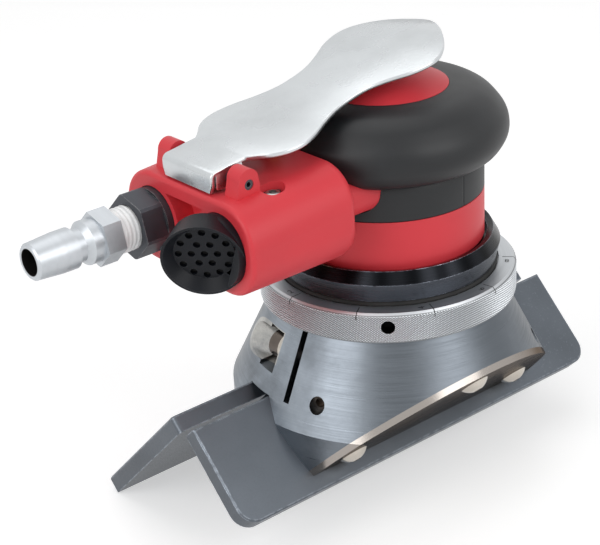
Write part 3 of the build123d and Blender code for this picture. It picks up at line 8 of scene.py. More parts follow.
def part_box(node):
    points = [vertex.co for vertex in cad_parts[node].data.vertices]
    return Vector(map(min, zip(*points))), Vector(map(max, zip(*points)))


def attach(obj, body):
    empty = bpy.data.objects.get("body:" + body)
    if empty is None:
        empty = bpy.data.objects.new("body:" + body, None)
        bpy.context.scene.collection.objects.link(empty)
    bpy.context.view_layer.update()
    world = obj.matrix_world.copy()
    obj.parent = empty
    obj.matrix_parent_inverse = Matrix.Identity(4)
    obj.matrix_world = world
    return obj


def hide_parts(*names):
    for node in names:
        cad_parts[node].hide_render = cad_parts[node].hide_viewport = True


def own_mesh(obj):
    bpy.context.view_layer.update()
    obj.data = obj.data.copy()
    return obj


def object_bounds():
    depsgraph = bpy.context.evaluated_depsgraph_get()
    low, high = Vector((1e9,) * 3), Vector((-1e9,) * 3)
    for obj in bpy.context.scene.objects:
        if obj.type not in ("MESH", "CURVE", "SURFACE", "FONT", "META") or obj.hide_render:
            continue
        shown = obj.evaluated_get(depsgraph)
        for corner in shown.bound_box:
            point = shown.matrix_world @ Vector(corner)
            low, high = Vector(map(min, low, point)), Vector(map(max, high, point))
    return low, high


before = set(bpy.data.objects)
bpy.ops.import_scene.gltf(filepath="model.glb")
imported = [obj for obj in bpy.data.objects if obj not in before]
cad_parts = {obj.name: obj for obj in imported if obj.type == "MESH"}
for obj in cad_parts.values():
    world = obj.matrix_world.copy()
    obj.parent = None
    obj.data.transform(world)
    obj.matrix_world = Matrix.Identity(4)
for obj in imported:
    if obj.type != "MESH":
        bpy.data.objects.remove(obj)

bl_info = {
    "name": "Palm-grip chamfering tool",
    "version": (1, 0, 0),
    "blender": (4, 5, 0),
    "location": "View3D > Sidebar > Air tool",
    "description": "Dresses a pneumatic edge chamfering tool with its grip, knurled ring, lever and finishes",
    "category": "Add Mesh",
}

MM = 0.001
CAD_BOX = [list(corner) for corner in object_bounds()]


# ---------------------------------------------------------------- settings
def length_setting(name, description, default, **limits):
    return bpy.props.FloatProperty(
        name=name, description=description, default=default, unit="LENGTH", **limits
    )


def power_setting(name, description, default):
    return bpy.props.FloatProperty(name=name, description=description, default=default, unit="POWER")


def colour_setting(name, description, default):
    return bpy.props.FloatVectorProperty(
        name=name, description=description, default=default, subtype="COLOR"
    )


class AirToolSizes(bpy.types.PropertyGroup):
    """Sizes of the dressed pieces"""

    knurl_pitch: length_setting(
        "Knurl pitch", "Width of one diamond of the depth ring's knurl", 0.9 * MM, min=0.5 * MM
    )
    knurl_depth: length_setting(
        "Knurl depth", "Height of one diamond of the depth ring's knurl", 0.3 * MM
    )
    seam_depth: length_setting(
        "Mould seam depth", "Depth of the seam down the rubber grip", 0.18 * MM
    )
    lever_thickness: length_setting(
        "Lever thickness", "Thickness of the lever's sheet steel", 1.5 * MM
    )
    tape_ridge: length_setting(
        "Tape ridge", "Height of the thread showing through the tape", 0.16 * MM
    )


class AirToolColours(bpy.types.PropertyGroup):
    """Colours of the finishes"""

    housing: colour_setting("Housing", "Moulded motor housing", (0.72, 0.045, 0.06))
    rubber: colour_setting("Rubber", "Palm grip", (0.0085, 0.0095, 0.011))
    turned: colour_setting("Turned steel", "Guide body", (0.145, 0.162, 0.182))
    plates: colour_setting("Guide plates", "Hardened plates", (0.112, 0.125, 0.142))
    blackened: colour_setting("Blackened steel", "Clamp ring and screws", (0.07, 0.076, 0.09))
    lever: colour_setting("Lever plating", "Satin plating of the lever", (0.6, 0.625, 0.64))
    plug: colour_setting("Plug plating", "Nickel of the air plug", (0.57, 0.6, 0.63))
    ring: colour_setting("Ring steel", "Knurled depth ring", (0.52, 0.54, 0.56))


class AirToolStage(bpy.types.PropertyGroup):
    """Light and floor"""

    key_power: power_setting("Key light", "Power that the left and front lights share", 8.0)
    fill_power: power_setting("Fill light", "Power of the light overhead", 1.2)
    floor_colour: colour_setting("Floor", "Pale floor", (0.8, 0.8, 0.8))
    floor_lift: colour_setting(
        "Floor backdrop", "How much of its own white the floor shows behind the tool", (0.47, 0.47, 0.47)
    )


def sizes():
    return bpy.context.scene.air_tool_sizes


def colours():
    return bpy.context.scene.air_tool_colours


# ---------------------------------------------------------------- mesh helpers
def link_object(name, data):
    """Puts an object with that mesh, curve, camera or light in the scene."""
    thing = bpy.data.objects.new(name, data)
    bpy.context.scene.collection.objects.link(thing)
    return thing


def link_mesh(name, bm):
    """Puts a bmesh in the scene as an object."""
    mesh = bpy.data.meshes.new(name)
    bm.to_mesh(mesh)
    bm.free()
    return link_object(name, mesh)


def new_piece(name, bm, body, material):
    """Turns a bmesh into a smooth piece that rides on a body."""
    bmesh.ops.recalc_face_normals(bm, faces=bm.faces)
    for face in bm.faces:
        face.smooth = True
    piece = link_mesh(name, bm)
    piece.data.materials.append(material)
    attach(piece, body)
    return piece


def shade_by_angle(piece, degrees):
    """Smooth shading that keeps edges sharper than an angle."""
    mesh = piece.data
    bm = bmesh.new()
    bm.from_mesh(mesh)
    for edge in bm.edges:
        edge.smooth = len(edge.link_faces) == 2 and edge.calc_face_angle(0) < radians(degrees)
    bm.to_mesh(mesh)
    bm.free()


def smooth_curve(points, steps):
    """Points along a smooth curve through the given points."""
    padded = [2 * Vector(points[0]) - Vector(points[1])]
    padded += [Vector(p) for p in points]
    padded.append(2 * Vector(points[-1]) - Vector(points[-2]))
    out = []
    for i in range(1, len(padded) - 2):
        p0, p1, p2, p3 = padded[i - 1 : i + 3]
        for k in range(steps):
            t = k / steps
            line = (2 * p1) + (p2 - p0) * t
            bend = (2 * p0 - 5 * p1 + 4 * p2 - p3) * t * t
            twist = (3 * p1 - p0 - 3 * p2 + p3) * t * t * t
            out.append((line + bend + twist) / 2)
    out.append(Vector(points[-1]))
    return out


def closed_lathe(loop, steps, place):
    """A closed profile turned right round. place(r, h, angle, i) gives a point."""
    bm = bmesh.new()
    rings = []
    for k in range(steps):
        angle = 2 * pi * k / steps
        rings.append([bm.verts.new(place(r, h, angle, i)) for i, (r, h) in enumerate(loop)])
    for k in range(steps):
        here, there = rings[k], rings[(k + 1) % steps]
        for i in range(len(loop)):
            j = (i + 1) % len(loop)
            bm.faces.new((here[i], there[i], there[j], here[j]))
    return bm


def closed_tube(bm, rings):
    """Joins rings of points into a tube with both ends closed."""
    faces = []
    for here, there in zip(rings, rings[1:]):
        for i in range(len(here)):
            j = (i + 1) % len(here)
            faces.append(bm.faces.new((here[i], here[j], there[j], there[i])))
    return [*faces, bm.faces.new(rings[0]), bm.faces.new(rings[-1])]


def cut(piece, cutter):
    """Cuts one mesh from another and throws the cutter away."""
    step = piece.modifiers.new("cut", "BOOLEAN")
    step.operation = "DIFFERENCE"
    step.solver = "EXACT"
    step.object = cutter
    depsgraph = bpy.context.evaluated_depsgraph_get()
    result = bpy.data.meshes.new_from_object(piece.evaluated_get(depsgraph))
    piece.modifiers.clear()
    old = piece.data
    piece.data = result
    result.name = old.name
    bpy.data.meshes.remove(old)
    cutter_mesh = cutter.data
    bpy.data.objects.remove(cutter)
    bpy.data.meshes.remove(cutter_mesh)


def loose_object(name, bm):
    """A helper object that isn't part of the tool, such as a cutter."""
    bmesh.ops.recalc_face_normals(bm, faces=bm.faces)
    helper = link_mesh(name, bm)
    bpy.context.view_layer.update()
    return helper


# ---------------------------------------------------------------- shader helpers
class Graph:
    """A material or node group being wired."""

    def __init__(self, tree):
        self.tree = tree

    def join(self, source, target):
        self.tree.links.new(source, target)

    def feed(self, socket, value):
        """Joins another node's output to a socket, or sets its number or colour."""
        if isinstance(value, bpy.types.NodeSocket):
            self.join(value, socket)
        elif socket.type == "RGBA":
            socket.default_value = (*value[:3], 1.0)
        else:
            socket.default_value = value

    def add(self, kind, inputs=None, **values):
        """A new node with its settings, and with its inputs set or joined."""
        node = self.tree.nodes.new(kind)
        for name, value in values.items():
            setattr(node, name, value)
        for name, value in (inputs or {}).items():
            self.feed(node.inputs[name], value)
        return node

    def math(self, operation, *values):
        return self.add("ShaderNodeMath", dict(enumerate(values)), operation=operation).outputs[0]

    def ramp(self, source, low, high, start=0.0, end=1.0):
        """Moves the range from low to high onto the range from start to end."""
        inputs = {"Value": source, "From Min": low, "From Max": high, "To Min": start, "To Max": end}
        return self.add("ShaderNodeMapRange", inputs).outputs["Result"]

    def coordinate(self, kind):
        return self.add("ShaderNodeTexCoord").outputs[kind]

    def position(self):
        """Where a point lies in the tool's frame, as X, Y and Z."""
        return self.add("ShaderNodeSeparateXYZ", {0: self.coordinate("Object")}).outputs

    def vector(self, *parts):
        return self.add("ShaderNodeCombineXYZ", dict(enumerate(parts))).outputs[0]

    def noise(self, place, scale, detail=2.0, roughness=0.5):
        inputs = {"Vector": place, "Scale": scale, "Detail": detail, "Roughness": roughness}
        return self.add("ShaderNodeTexNoise", inputs).outputs["Fac"]

    def facing(self, normal, direction):
        """How nearly a normal points in a direction."""
        vectors = {0: normal, 1: direction}
        return self.add("ShaderNodeVectorMath", vectors, operation="DOT_PRODUCT").outputs["Value"]

    def length(self, a, b):
        squares = self.math("ADD", self.math("MULTIPLY", a, a), self.math("MULTIPLY", b, b))
        return self.math("SQRT", squares)

    def mix(self, mask, first, second):
        """The first colour where the mask is 0, the second where it is 1."""
        inputs = {0: mask, 6: first, 7: second}
        return self.add("ShaderNodeMix", inputs, data_type="RGBA").outputs[2]


# lathe marks run round the axis, so they change slowly with the angle
TURNING_STRETCH = 0.0006
TURNING_BAND_SHARE = 0.12
# painted reflection bands round turned forms: how fast they change going up, and how uneven they are
BAND_RISE = 6.0
BAND_UNEVEN = 0.22


def new_group(name, inputs, outputs):
    """An effect shared by several materials."""
    tree = bpy.data.node_groups.new(name, "ShaderNodeTree")
    for label, default in inputs:
        socket = tree.interface.new_socket(label, in_out="INPUT", socket_type="NodeSocketFloat")
        socket.default_value = default
    for label in outputs:
        tree.interface.new_socket(label, in_out="OUTPUT", socket_type="NodeSocketFloat")
    graph = Graph(tree)
    return graph, graph.add("NodeGroupInput").outputs, graph.add("NodeGroupOutput").inputs


def grain_group():
    """Fine surface grain: a height for bumps and a slow change of tone."""
    inputs = (("Grain Scale", 2500.0), ("Tone Scale", 60.0))
    graph, inside, out = new_group("surface_grain", inputs, ("Height", "Tone"))
    place = graph.coordinate("Object")
    graph.join(graph.noise(place, inside["Grain Scale"], detail=3.0), out["Height"])
    graph.join(graph.noise(place, inside["Tone Scale"], detail=4.0), out["Tone"])
    return graph.tree


def turning_group(name, axis):
    """Lathe marks round an axis: fine rings, a slower band of tone, and the radius."""
    inputs = (("Line Scale", 4000.0), ("Centre A", 0.0), ("Centre B", 0.0))
    graph, inside, out = new_group(name, inputs, ("Height", "Tone", "Radius"))
    x, y, z = graph.position()
    along, first, second = (z, x, y) if axis == "Z" else (x, y, z)
    a = graph.math("SUBTRACT", first, inside["Centre A"])
    b = graph.math("SUBTRACT", second, inside["Centre B"])
    radius = graph.length(a, b)
    turn = graph.math("MULTIPLY", graph.math("ARCTAN2", b, a), TURNING_STRETCH)
    place = graph.vector(radius, along, turn)
    line_scale = inside["Line Scale"]
    band_scale = graph.math("MULTIPLY", line_scale, TURNING_BAND_SHARE)
    graph.join(graph.noise(place, line_scale, detail=3.0), out["Height"])
    graph.join(graph.noise(place, band_scale), out["Tone"])
    graph.join(radius, out["Radius"])
    return graph.tree


def sheen_bands_group():
    """Painted reflection: soft light and dark bands round an upright turned form, painted into the colour."""
    inputs = (("Count", 8.0), ("Phase", 0.0), ("Break Up", 1.2))
    graph, inside, out = new_group("painted_reflection_bands", inputs, ("Mask",))
    x, y, z = graph.position()
    angle = graph.math("ARCTAN2", y, x)
    painted_sheen_bands = graph.math("MULTIPLY", angle, inside["Count"])
    wave = graph.math("COSINE", graph.math("ADD", painted_sheen_bands, inside["Phase"]))
    place = graph.vector(
        graph.math("COSINE", angle),
        graph.math("SINE", angle),
        graph.math("MULTIPLY", z, BAND_RISE),
    )
    noise = graph.noise(place, inside["Break Up"])
    uneven = graph.ramp(noise, 0.3, 0.7, -BAND_UNEVEN, BAND_UNEVEN)
    level = graph.math("ADD", graph.ramp(wave, -1.0, 1.0), uneven)
    graph.join(graph.math("MAXIMUM", graph.math("MINIMUM", level, 1.0), 0.0), out["Mask"])
    return graph.tree


def wear_group():
    """Where edges are rubbed bright, broken up so that the wear isn't even."""
    graph, inside, out = new_group("edge_wear", (("Width", 0.0006), ("Break Up", 700.0)), ("Mask",))
    bevel = graph.add("ShaderNodeBevel", {"Radius": inside["Width"]}, samples=4)
    geometry = graph.add("ShaderNodeNewGeometry")
    same = graph.facing(bevel.outputs["Normal"], geometry.outputs["Normal"])
    edge = graph.ramp(same, 0.985, 0.86)
    noise = graph.noise(graph.coordinate("Object"), inside["Break Up"])
    graph.join(graph.math("MULTIPLY", edge, graph.ramp(noise, 0.35, 0.6)), out["Mask"])
    return graph.tree


def smudge_group():
    """Handling marks and dust: soft patches."""
    inputs = (("Scale", 45.0), ("Low", 0.45), ("High", 0.7))
    graph, inside, out = new_group("smudges", inputs, ("Mask",))
    place = graph.coordinate("Object")
    noise = graph.noise(place, inside["Scale"], detail=5.0, roughness=0.62)
    graph.join(graph.ramp(noise, inside["Low"], inside["High"]), out["Mask"])
    return graph.tree


GROUPS = {}


def shared(name):
    """The shared effect of that name, built the first time it is asked for."""
    builders = {
        "grain": grain_group,
        "turned_z": lambda: turning_group("turning_marks", "Z"),
        "turned_x": lambda: turning_group("turning_marks_sideways", "X"),
        "painted_sheen_bands": sheen_bands_group,
        "wear": wear_group,
        "smudges": smudge_group,
    }
    if name not in GROUPS:
        GROUPS[name] = builders[name]()
    return GROUPS[name]


def spaced(values):
    """The same values under socket names, which have spaces for underscores."""
    return {name.replace("_", " "): value for name, value in values.items()}


class Finish(Graph):
    """A material with one Principled shader."""

    def __init__(self, name, metallic=0.0, **shader):
        self.material = bpy.data.materials.new(name)
        self.material.use_nodes = True
        super().__init__(self.material.node_tree)
        self.shader = self.tree.nodes["Principled BSDF"]
        for label, value in spaced({"Metallic": metallic, **shader}).items():
            self.feed(self.shader.inputs[label], value)

    def effect(self, name, **values):
        """The outputs of a shared effect."""
        return self.add("ShaderNodeGroup", spaced(values), node_tree=shared(name)).outputs

    def colour(self, source):
        self.join(source, self.shader.inputs["Base Color"])

    def roughness(self, source, low, high):
        self.join(self.ramp(source, 0.25, 0.75, low, high), self.shader.inputs["Roughness"])

    def bump(self, height, distance, strength):
        inputs = {"Strength": strength, "Distance": distance, "Height": height}
        self.join(self.add("ShaderNodeBump", inputs).outputs["Normal"], self.shader.inputs["Normal"])


def shade(colour, factor):
    return tuple(min(1.0, c * factor) for c in colour)


# ---------------------------------------------------------------- finishes
PLUG_Y = 15.5
PLUG_Z = 69.1
PLUG_BORE = 3.9
CLAMP_WIDEST_Z = 43.5
COVER_FACING = (0.0, -sqrt(0.5), -sqrt(0.5))
COVER_STREAKS = (60.0, 1100.0, 1100.0)
# the guide body is painted brighter on its inlet side, a painted highlight
PAINTED_HIGHLIGHT_FACING = (-0.98, 0.1, 0.17)
SHEEN_COUNT = 8.0
SHEEN_PHASE = radians(SHEEN_COUNT * 152.0 - 3 * 360.0)
TURNED_LINE_SHARE = 0.22
# the pocket and channel of the kerf screw were milled after the turning; their bright grazing reflection is
# painted into this colour
MILLED_STEEL_AND_PAINTED_REFLECTION = (0.5, 0.49, 0.46)
KEY_AXIS_X = -38.0
KEY_AXIS_Z = 16.6
KEY_R = 6.0
KEY_FROM_Y = 4.5
# the plates' specks gather towards their right-hand end
SPECKS_FROM_X = 20.0
SPECKS_FULL_X = 60.0


def grained(name, tones, rough, scales, metallic=0.0, bump=None, worn=None, **shader):
    """A grained finish: two tones, two roughnesses, a fine bump and perhaps worn edges."""
    finish = Finish(name, metallic=metallic, **shader)
    grain = finish.effect("grain", Grain_Scale=scales[0], Tone_Scale=scales[1])
    tone = finish.mix(grain["Tone"], *tones)
    if worn:
        width, break_up, edge_colour = worn
        wear = finish.effect("wear", Width=width, Break_Up=break_up)
        tone = finish.mix(wear["Mask"], tone, edge_colour)
    finish.colour(tone)
    finish.roughness(grain["Tone"], *rough)
    if bump:
        finish.bump(grain["Height"], *bump)
    return finish.material


def moulded_red():
    """Satin moulded housing with a fine spark-eroded grain."""
    base = tuple(colours().housing)
    tones = (shade(base, 0.9), shade(base, 1.08))
    look = {"bump": (0.00002, 0.35), "Specular_IOR_Level": 0.4}
    return grained("moulded_red", tones, (0.4, 0.5), (2600.0, 38.0), **look)


def painted_hole_shade():
    """Painted shade inside a deep hole: a near-black finish."""
    tones = ((0.006, 0.006, 0.007), (0.02, 0.02, 0.022))
    return grained("painted_hole_shade", tones, (0.45, 0.6), (2000.0, 200.0), metallic=1.0)


def bright_fastener():
    """Warm bright screws and washers."""
    tones = ((0.42, 0.38, 0.33), (0.62, 0.58, 0.52))
    return grained("bright_fastener", tones, (0.16, 0.3), (2400.0, 160.0), metallic=1.0, bump=(0.00001, 0.3))


def scale_ink():
    """Black filling of the scale marks."""
    tones = ((0.01, 0.01, 0.01), (0.03, 0.03, 0.03))
    return grained("scale_ink", tones, (0.5, 0.65), (3000.0, 900.0))


def inner_finish(name, light, dark, metallic, rough, grain_scale):
    """Plain machined or pressed finish of the pieces inside."""
    spread = (rough * 0.85, rough * 1.15)
    return grained(name, (dark, light), spread, (grain_scale, 140.0), metallic=metallic, bump=(0.00002, 0.3))


def grip_rubber():
    """Soft matt rubber with a stipple and a little dust."""
    finish = Finish("grip_rubber", Specular_IOR_Level=0.42)
    grain = finish.effect("grain", Grain_Scale=3200.0, Tone_Scale=50.0)
    dust = finish.effect("smudges", Scale=70.0, Low=0.5, High=0.8)
    base = tuple(colours().rubber)
    finish.colour(finish.mix(dust["Mask"], base, shade(base, 1.6)))
    finish.roughness(grain["Tone"], 0.42, 0.52)
    finish.bump(grain["Height"], 0.00003, 0.4)
    return finish.material


def milled_pocket(finish):
    """Mask of the kerf screw's pocket and channel, which run along Y."""
    x, y, z = finish.position()
    across = finish.math("SUBTRACT", x, KEY_AXIS_X * MM)
    above = finish.math("SUBTRACT", z, KEY_AXIS_Z * MM)
    near = finish.ramp(finish.length(across, above), (KEY_R + 0.05) * MM, (KEY_R - 0.05) * MM)
    beyond = finish.ramp(y, KEY_FROM_Y * MM, (KEY_FROM_Y + 0.1) * MM)
    return finish.math("MULTIPLY", near, beyond)


def turned_steel():
    """Fine-turned steel: rings round the spindle crossed by soft upright bands of painted reflection, with a
    painted highlight on the inlet side and the milled pocket painted bright.
    """
    finish = Finish("turned_steel", metallic=1.0, Anisotropic=0.6)
    marks = finish.effect("turned_z", Line_Scale=2600.0)
    painted_sheen_bands = finish.effect("painted_sheen_bands", Count=SHEEN_COUNT, Phase=SHEEN_PHASE, Break_Up=1.3)
    smudges = finish.effect("smudges", Scale=40.0, Low=0.42, High=0.75)
    base = tuple(colours().turned)
    # painted reflection: light and dark upright bands round the spindle
    painted_sheen_tone = finish.mix(painted_sheen_bands["Mask"], shade(base, 0.74), shade(base, 1.06))
    # painted highlight on the side facing the inlet
    painted_highlight_flank = finish.ramp(finish.facing(finish.coordinate("Normal"), PAINTED_HIGHLIGHT_FACING), 0.72, 0.97)
    tone_with_painted_highlight = finish.mix(painted_highlight_flank, painted_sheen_tone, shade(base, 2.1))
    # the milled pocket is painted bright, a painted reflection
    tone = finish.mix(milled_pocket(finish), tone_with_painted_highlight, MILLED_STEEL_AND_PAINTED_REFLECTION)
    lines = finish.ramp(marks["Height"], 0.35, 0.65)
    lined = finish.mix(TURNED_LINE_SHARE, tone, finish.mix(lines, tone, shade(base, 1.2)))
    finish.colour(finish.mix(smudges["Mask"], lined, shade(base, 0.75)))
    finish.roughness(marks["Height"], 0.26, 0.42)
    finish.bump(marks["Height"], 0.00003, 0.6)
    return finish.material


def ring_steel():
    """Satin steel of the knurled ring, with painted shade in the valleys between the diamonds and painted
    highlights on their crests.
    """
    finish = Finish("ring_steel", metallic=1.0)
    marks = finish.effect("turned_z", Line_Scale=6500.0)
    base = tuple(colours().ring)
    tone = finish.mix(marks["Tone"], shade(base, 0.85), shade(base, 1.15))
    radius = marks["Radius"]
    # painted shade down in the knurl's valleys, painted highlight on its crests
    painted_valley_shade = finish.ramp(radius, (RING_R - 0.1) * MM, (RING_R - 0.26) * MM)
    outside = finish.ramp(radius, (RING_R - 0.5) * MM, (RING_R - 0.4) * MM)
    painted_knurl_shade_and_highlight = finish.mix(painted_valley_shade, shade(base, 1.4), shade(base, 0.42))
    finish.colour(finish.mix(outside, tone, painted_knurl_shade_and_highlight))
    finish.roughness(marks["Height"], 0.34, 0.46)
    finish.bump(marks["Height"], 0.00001, 0.4)
    return finish.material


def ground_plate():
    """Hardened plate: dark ground steel, soft clouds, a few bright specks at one end."""
    finish = Finish("ground_plate", metallic=1.0)
    grain = finish.effect("grain", Grain_Scale=1700.0, Tone_Scale=45.0)
    wear = finish.effect("wear", Width=0.0007, Break_Up=500.0)
    specks = finish.effect("smudges", Scale=1500.0, Low=0.6, High=0.75)
    base = tuple(colours().plates)
    tone = finish.mix(grain["Tone"], shade(base, 0.75), shade(base, 1.25))
    towards_end = finish.ramp(finish.position()[0], SPECKS_FROM_X * MM, SPECKS_FULL_X * MM)
    gathered = finish.math("MULTIPLY", towards_end, specks["Mask"])
    spotted = finish.mix(gathered, tone, shade(base, 1.9))
    finish.colour(finish.mix(wear["Mask"], spotted, shade(base, 3.2)))
    finish.roughness(grain["Height"], 0.3, 0.48)
    finish.bump(grain["Height"], 0.00003, 0.35)
    return finish.material


def polished_cover():
    """Polished plate: a painted highlight on the rim, and a face painted dark as a painted reflection,
    crossed by fine streaks.
    """
    finish = Finish("polished_cover", metallic=1.0, Specular_Tint=(0.3, 0.26, 0.23, 1.0))
    grain = finish.effect("grain", Grain_Scale=2200.0, Tone_Scale=55.0)
    place = {"Vector": finish.coordinate("Object"), "Scale": COVER_STREAKS}
    streaks = finish.noise(finish.add("ShaderNodeMapping", place).outputs[0], 1.0, detail=3.0)
    # the face is painted dark, a painted reflection
    face = finish.mix(finish.ramp(streaks, 0.42, 0.7), (0.07, 0.058, 0.05), (0.42, 0.39, 0.36))
    # the rim is whatever doesn't look the way the face does, and gets a painted highlight
    painted_highlight_rim = finish.ramp(finish.facing(finish.coordinate("Normal"), COVER_FACING), 0.97, 0.8)
    finish.colour(finish.mix(painted_highlight_rim, face, (0.36, 0.33, 0.305)))
    finish.roughness(grain["Tone"], 0.14, 0.26)
    finish.bump(grain["Height"], 0.00001, 0.25)
    return finish.material


def blackened_ring():
    """Oil-blackened clamp ring: grey below its widest edge, and above it painted near black, a painted dark
    reflection crossed by painted sheen streaks.
    """
    finish = Finish("blackened_ring", metallic=1.0)
    marks = finish.effect("turned_z", Line_Scale=3800.0)
    painted_sheen_bands = finish.effect("painted_sheen_bands", Count=23.0, Phase=1.0, Break_Up=4.0)
    wear = finish.effect("wear", Width=0.0004, Break_Up=800.0)
    base = tuple(colours().blackened)
    height = finish.position()[2]
    above = finish.ramp(height, (CLAMP_WIDEST_Z - 0.05) * MM, (CLAMP_WIDEST_Z + 0.05) * MM)
    # painted dark reflection above the widest edge, crossed by painted sheen streaks
    upper = finish.mix(painted_sheen_bands["Mask"], shade(base, 0.08), shade(base, 0.22))
    lower = finish.mix(marks["Tone"], shade(base, 0.85), shade(base, 1.25))
    tone = finish.mix(above, lower, upper)
    finish.colour(finish.mix(wear["Mask"], tone, shade(base, 4.0)))
    finish.roughness(marks["Height"], 0.22, 0.34)
    finish.bump(marks["Height"], 0.00002, 0.3)
    return finish.material


def blackened_fitting():
    """The same blackening on the small hexagons and screws."""
    base = tuple(colours().blackened)
    tones = (shade(base, 0.6), shade(base, 1.05))
    look = {"metallic": 0.55, "bump": (0.00002, 0.35), "worn": (0.0004, 900.0, (0.3, 0.3, 0.31))}
    return grained("blackened_fitting", tones, (0.38, 0.5), (1800.0, 220.0), **look)


def satin_plating():
    """Bright plating over bead-blasted sheet."""
    finish = Finish("satin_plating", metallic=1.0)
    grain = finish.effect("grain", Grain_Scale=1300.0, Tone_Scale=70.0)
    smudges = finish.effect("smudges", Scale=38.0, Low=0.4, High=0.75)
    wear = finish.effect("wear", Width=0.0007, Break_Up=120.0)
    base = tuple(colours().lever)
    tone = finish.mix(smudges["Mask"], base, shade(base, 0.86))
    finish.colour(finish.mix(wear["Mask"], tone, (0.9, 0.9, 0.9)))
    finish.roughness(grain["Tone"], 0.22, 0.34)
    finish.bump(grain["Height"], 0.00008, 0.4)
    return finish.material


def plug_plating():
    """Nickel plating over turned marks along the air plug, with painted shade in its bore."""
    finish = Finish("plug_plating", metallic=0.7)
    marks = finish.effect("turned_x", Line_Scale=4200.0, Centre_A=PLUG_Y * MM, Centre_B=PLUG_Z * MM)
    base = tuple(colours().plug)
    tone = finish.mix(marks["Tone"], shade(base, 0.88), shade(base, 1.02))
    radius = marks["Radius"]
    # painted shade down the bore
    painted_bore_shade = finish.ramp(radius, (PLUG_BORE + 0.15) * MM, (PLUG_BORE + 0.02) * MM)
    finish.colour(finish.mix(painted_bore_shade, tone, (0.03, 0.028, 0.026)))
    finish.roughness(marks["Height"], 0.32, 0.44)
    finish.bump(marks["Height"], 0.00001, 0.35)
    return finish.material


def thread_tape_finish():
    """White thread tape with fine stretch lines."""
    finish = Finish("thread_tape_white", Specular_IOR_Level=0.4)
    marks = finish.effect("turned_x", Line_Scale=5200.0, Centre_A=PLUG_Y * MM, Centre_B=PLUG_Z * MM)
    finish.colour(finish.mix(marks["Tone"], (0.95, 0.955, 0.96), (0.99, 0.99, 0.99)))
    finish.roughness(marks["Height"], 0.45, 0.6)
    finish.bump(marks["Height"], 0.00003, 0.4)
    return finish.material


def black_nylon():
    """Glass-filled moulding of the muffler."""
    tones = ((0.003, 0.0036, 0.0055), (0.008, 0.0095, 0.014))
    look = {"bump": (0.00002, 0.35), "worn": (0.0003, 1200.0, (0.045, 0.048, 0.055))}
    return grained("black_nylon", tones, (0.34, 0.46), (2400.0, 120.0), Specular_IOR_Level=0.2, **look)


def dress(material, *nodes):
    """Puts a finish on solid pieces that keep their shape."""
    for name in nodes:
        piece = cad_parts[name]
        if not piece.material_slots:
            piece.data.materials.append(material)
        for slot in piece.material_slots:
            slot.material = material


# ---------------------------------------------------------------- operators
class AIRTOOL_OT_housing(bpy.types.Operator):
    """Finish the motor housing"""

    bl_idname = "airtool.housing"
    bl_label = "Housing"

    def execute(self, context):
        dress(moulded_red(), "housing")
        return {"FINISHED"}


# (radius, height) round the grip's outside, from the skirt's foot to the crown
SKIRT_PROFILE = ((29.9, 61.4), (30.2, 61.7), (30.2, 66.0), (30.2, 70.2), (30.0, 71.2))
BULGE_PROFILE = (
    (29.8, 71.7), (31.4, 72.3), (34.5, 74.0), (36.5, 76.7),
    (37.5, 79.2), (37.6, 82.0), (36.8, 85.0), (34.8, 88.0),
    (32.3, 90.6), (28.7, 92.5), (24.0, 93.4), (19.9, 93.7),
)
BULGE_STEPS = 6
GRIP_STEPS = 480
SEAM_ANGLE = radians(-83.0)
SEAM_JOG = radians(10.0)
SEAM_JOG_LOW = 71.2
SEAM_JOG_HIGH = 73.2
SEAM_END = 76.5
NECK_HALF_W = 21.2
NECK_LOW = 64.2
NECK_TALL = 12.5
NECK_ROUND = 6.1
NECK_ROUND_STEPS = 12
NECK_FROM_X = -60.0
NECK_TO_X = -14.0
NECK_SLACK = 0.1
# the housing's shoulder, which fills the grip
UNDER_GRIP_R = 28.2
SHOULDER_LOW = 72.0
SHOULDER_HIGH = 81.9
SHOULDER_TOP = (26.0, 87.9)
CROWN_R = 19.85
CROWN_LOW = 90.6


def neck_cutter(slack):
    """The neck's rounded bar, a little larger, from the handle to the barrel."""
    half_w = NECK_HALF_W + slack
    half_h = NECK_TALL / 2 + slack
    middle = NECK_LOW + NECK_TALL / 2
    corner = NECK_ROUND + slack
    outline = []
    for quarter in range(4):
        y = (half_w - corner) * (1 if quarter in (0, 3) else -1)
        z = (half_h - corner) * (1 if quarter in (0, 1) else -1)
        for k in range(NECK_ROUND_STEPS + 1):
            angle = (quarter + k / NECK_ROUND_STEPS) * pi / 2
            outline.append((y + corner * cos(angle), middle + z + corner * sin(angle)))
    bm = bmesh.new()
    ends = []
    for x in (NECK_FROM_X, NECK_TO_X):
        ends.append([bm.verts.new((x * MM, y * MM, z * MM)) for y, z in outline])
    closed_tube(bm, ends)
    return loose_object("neck_cutter", bm)


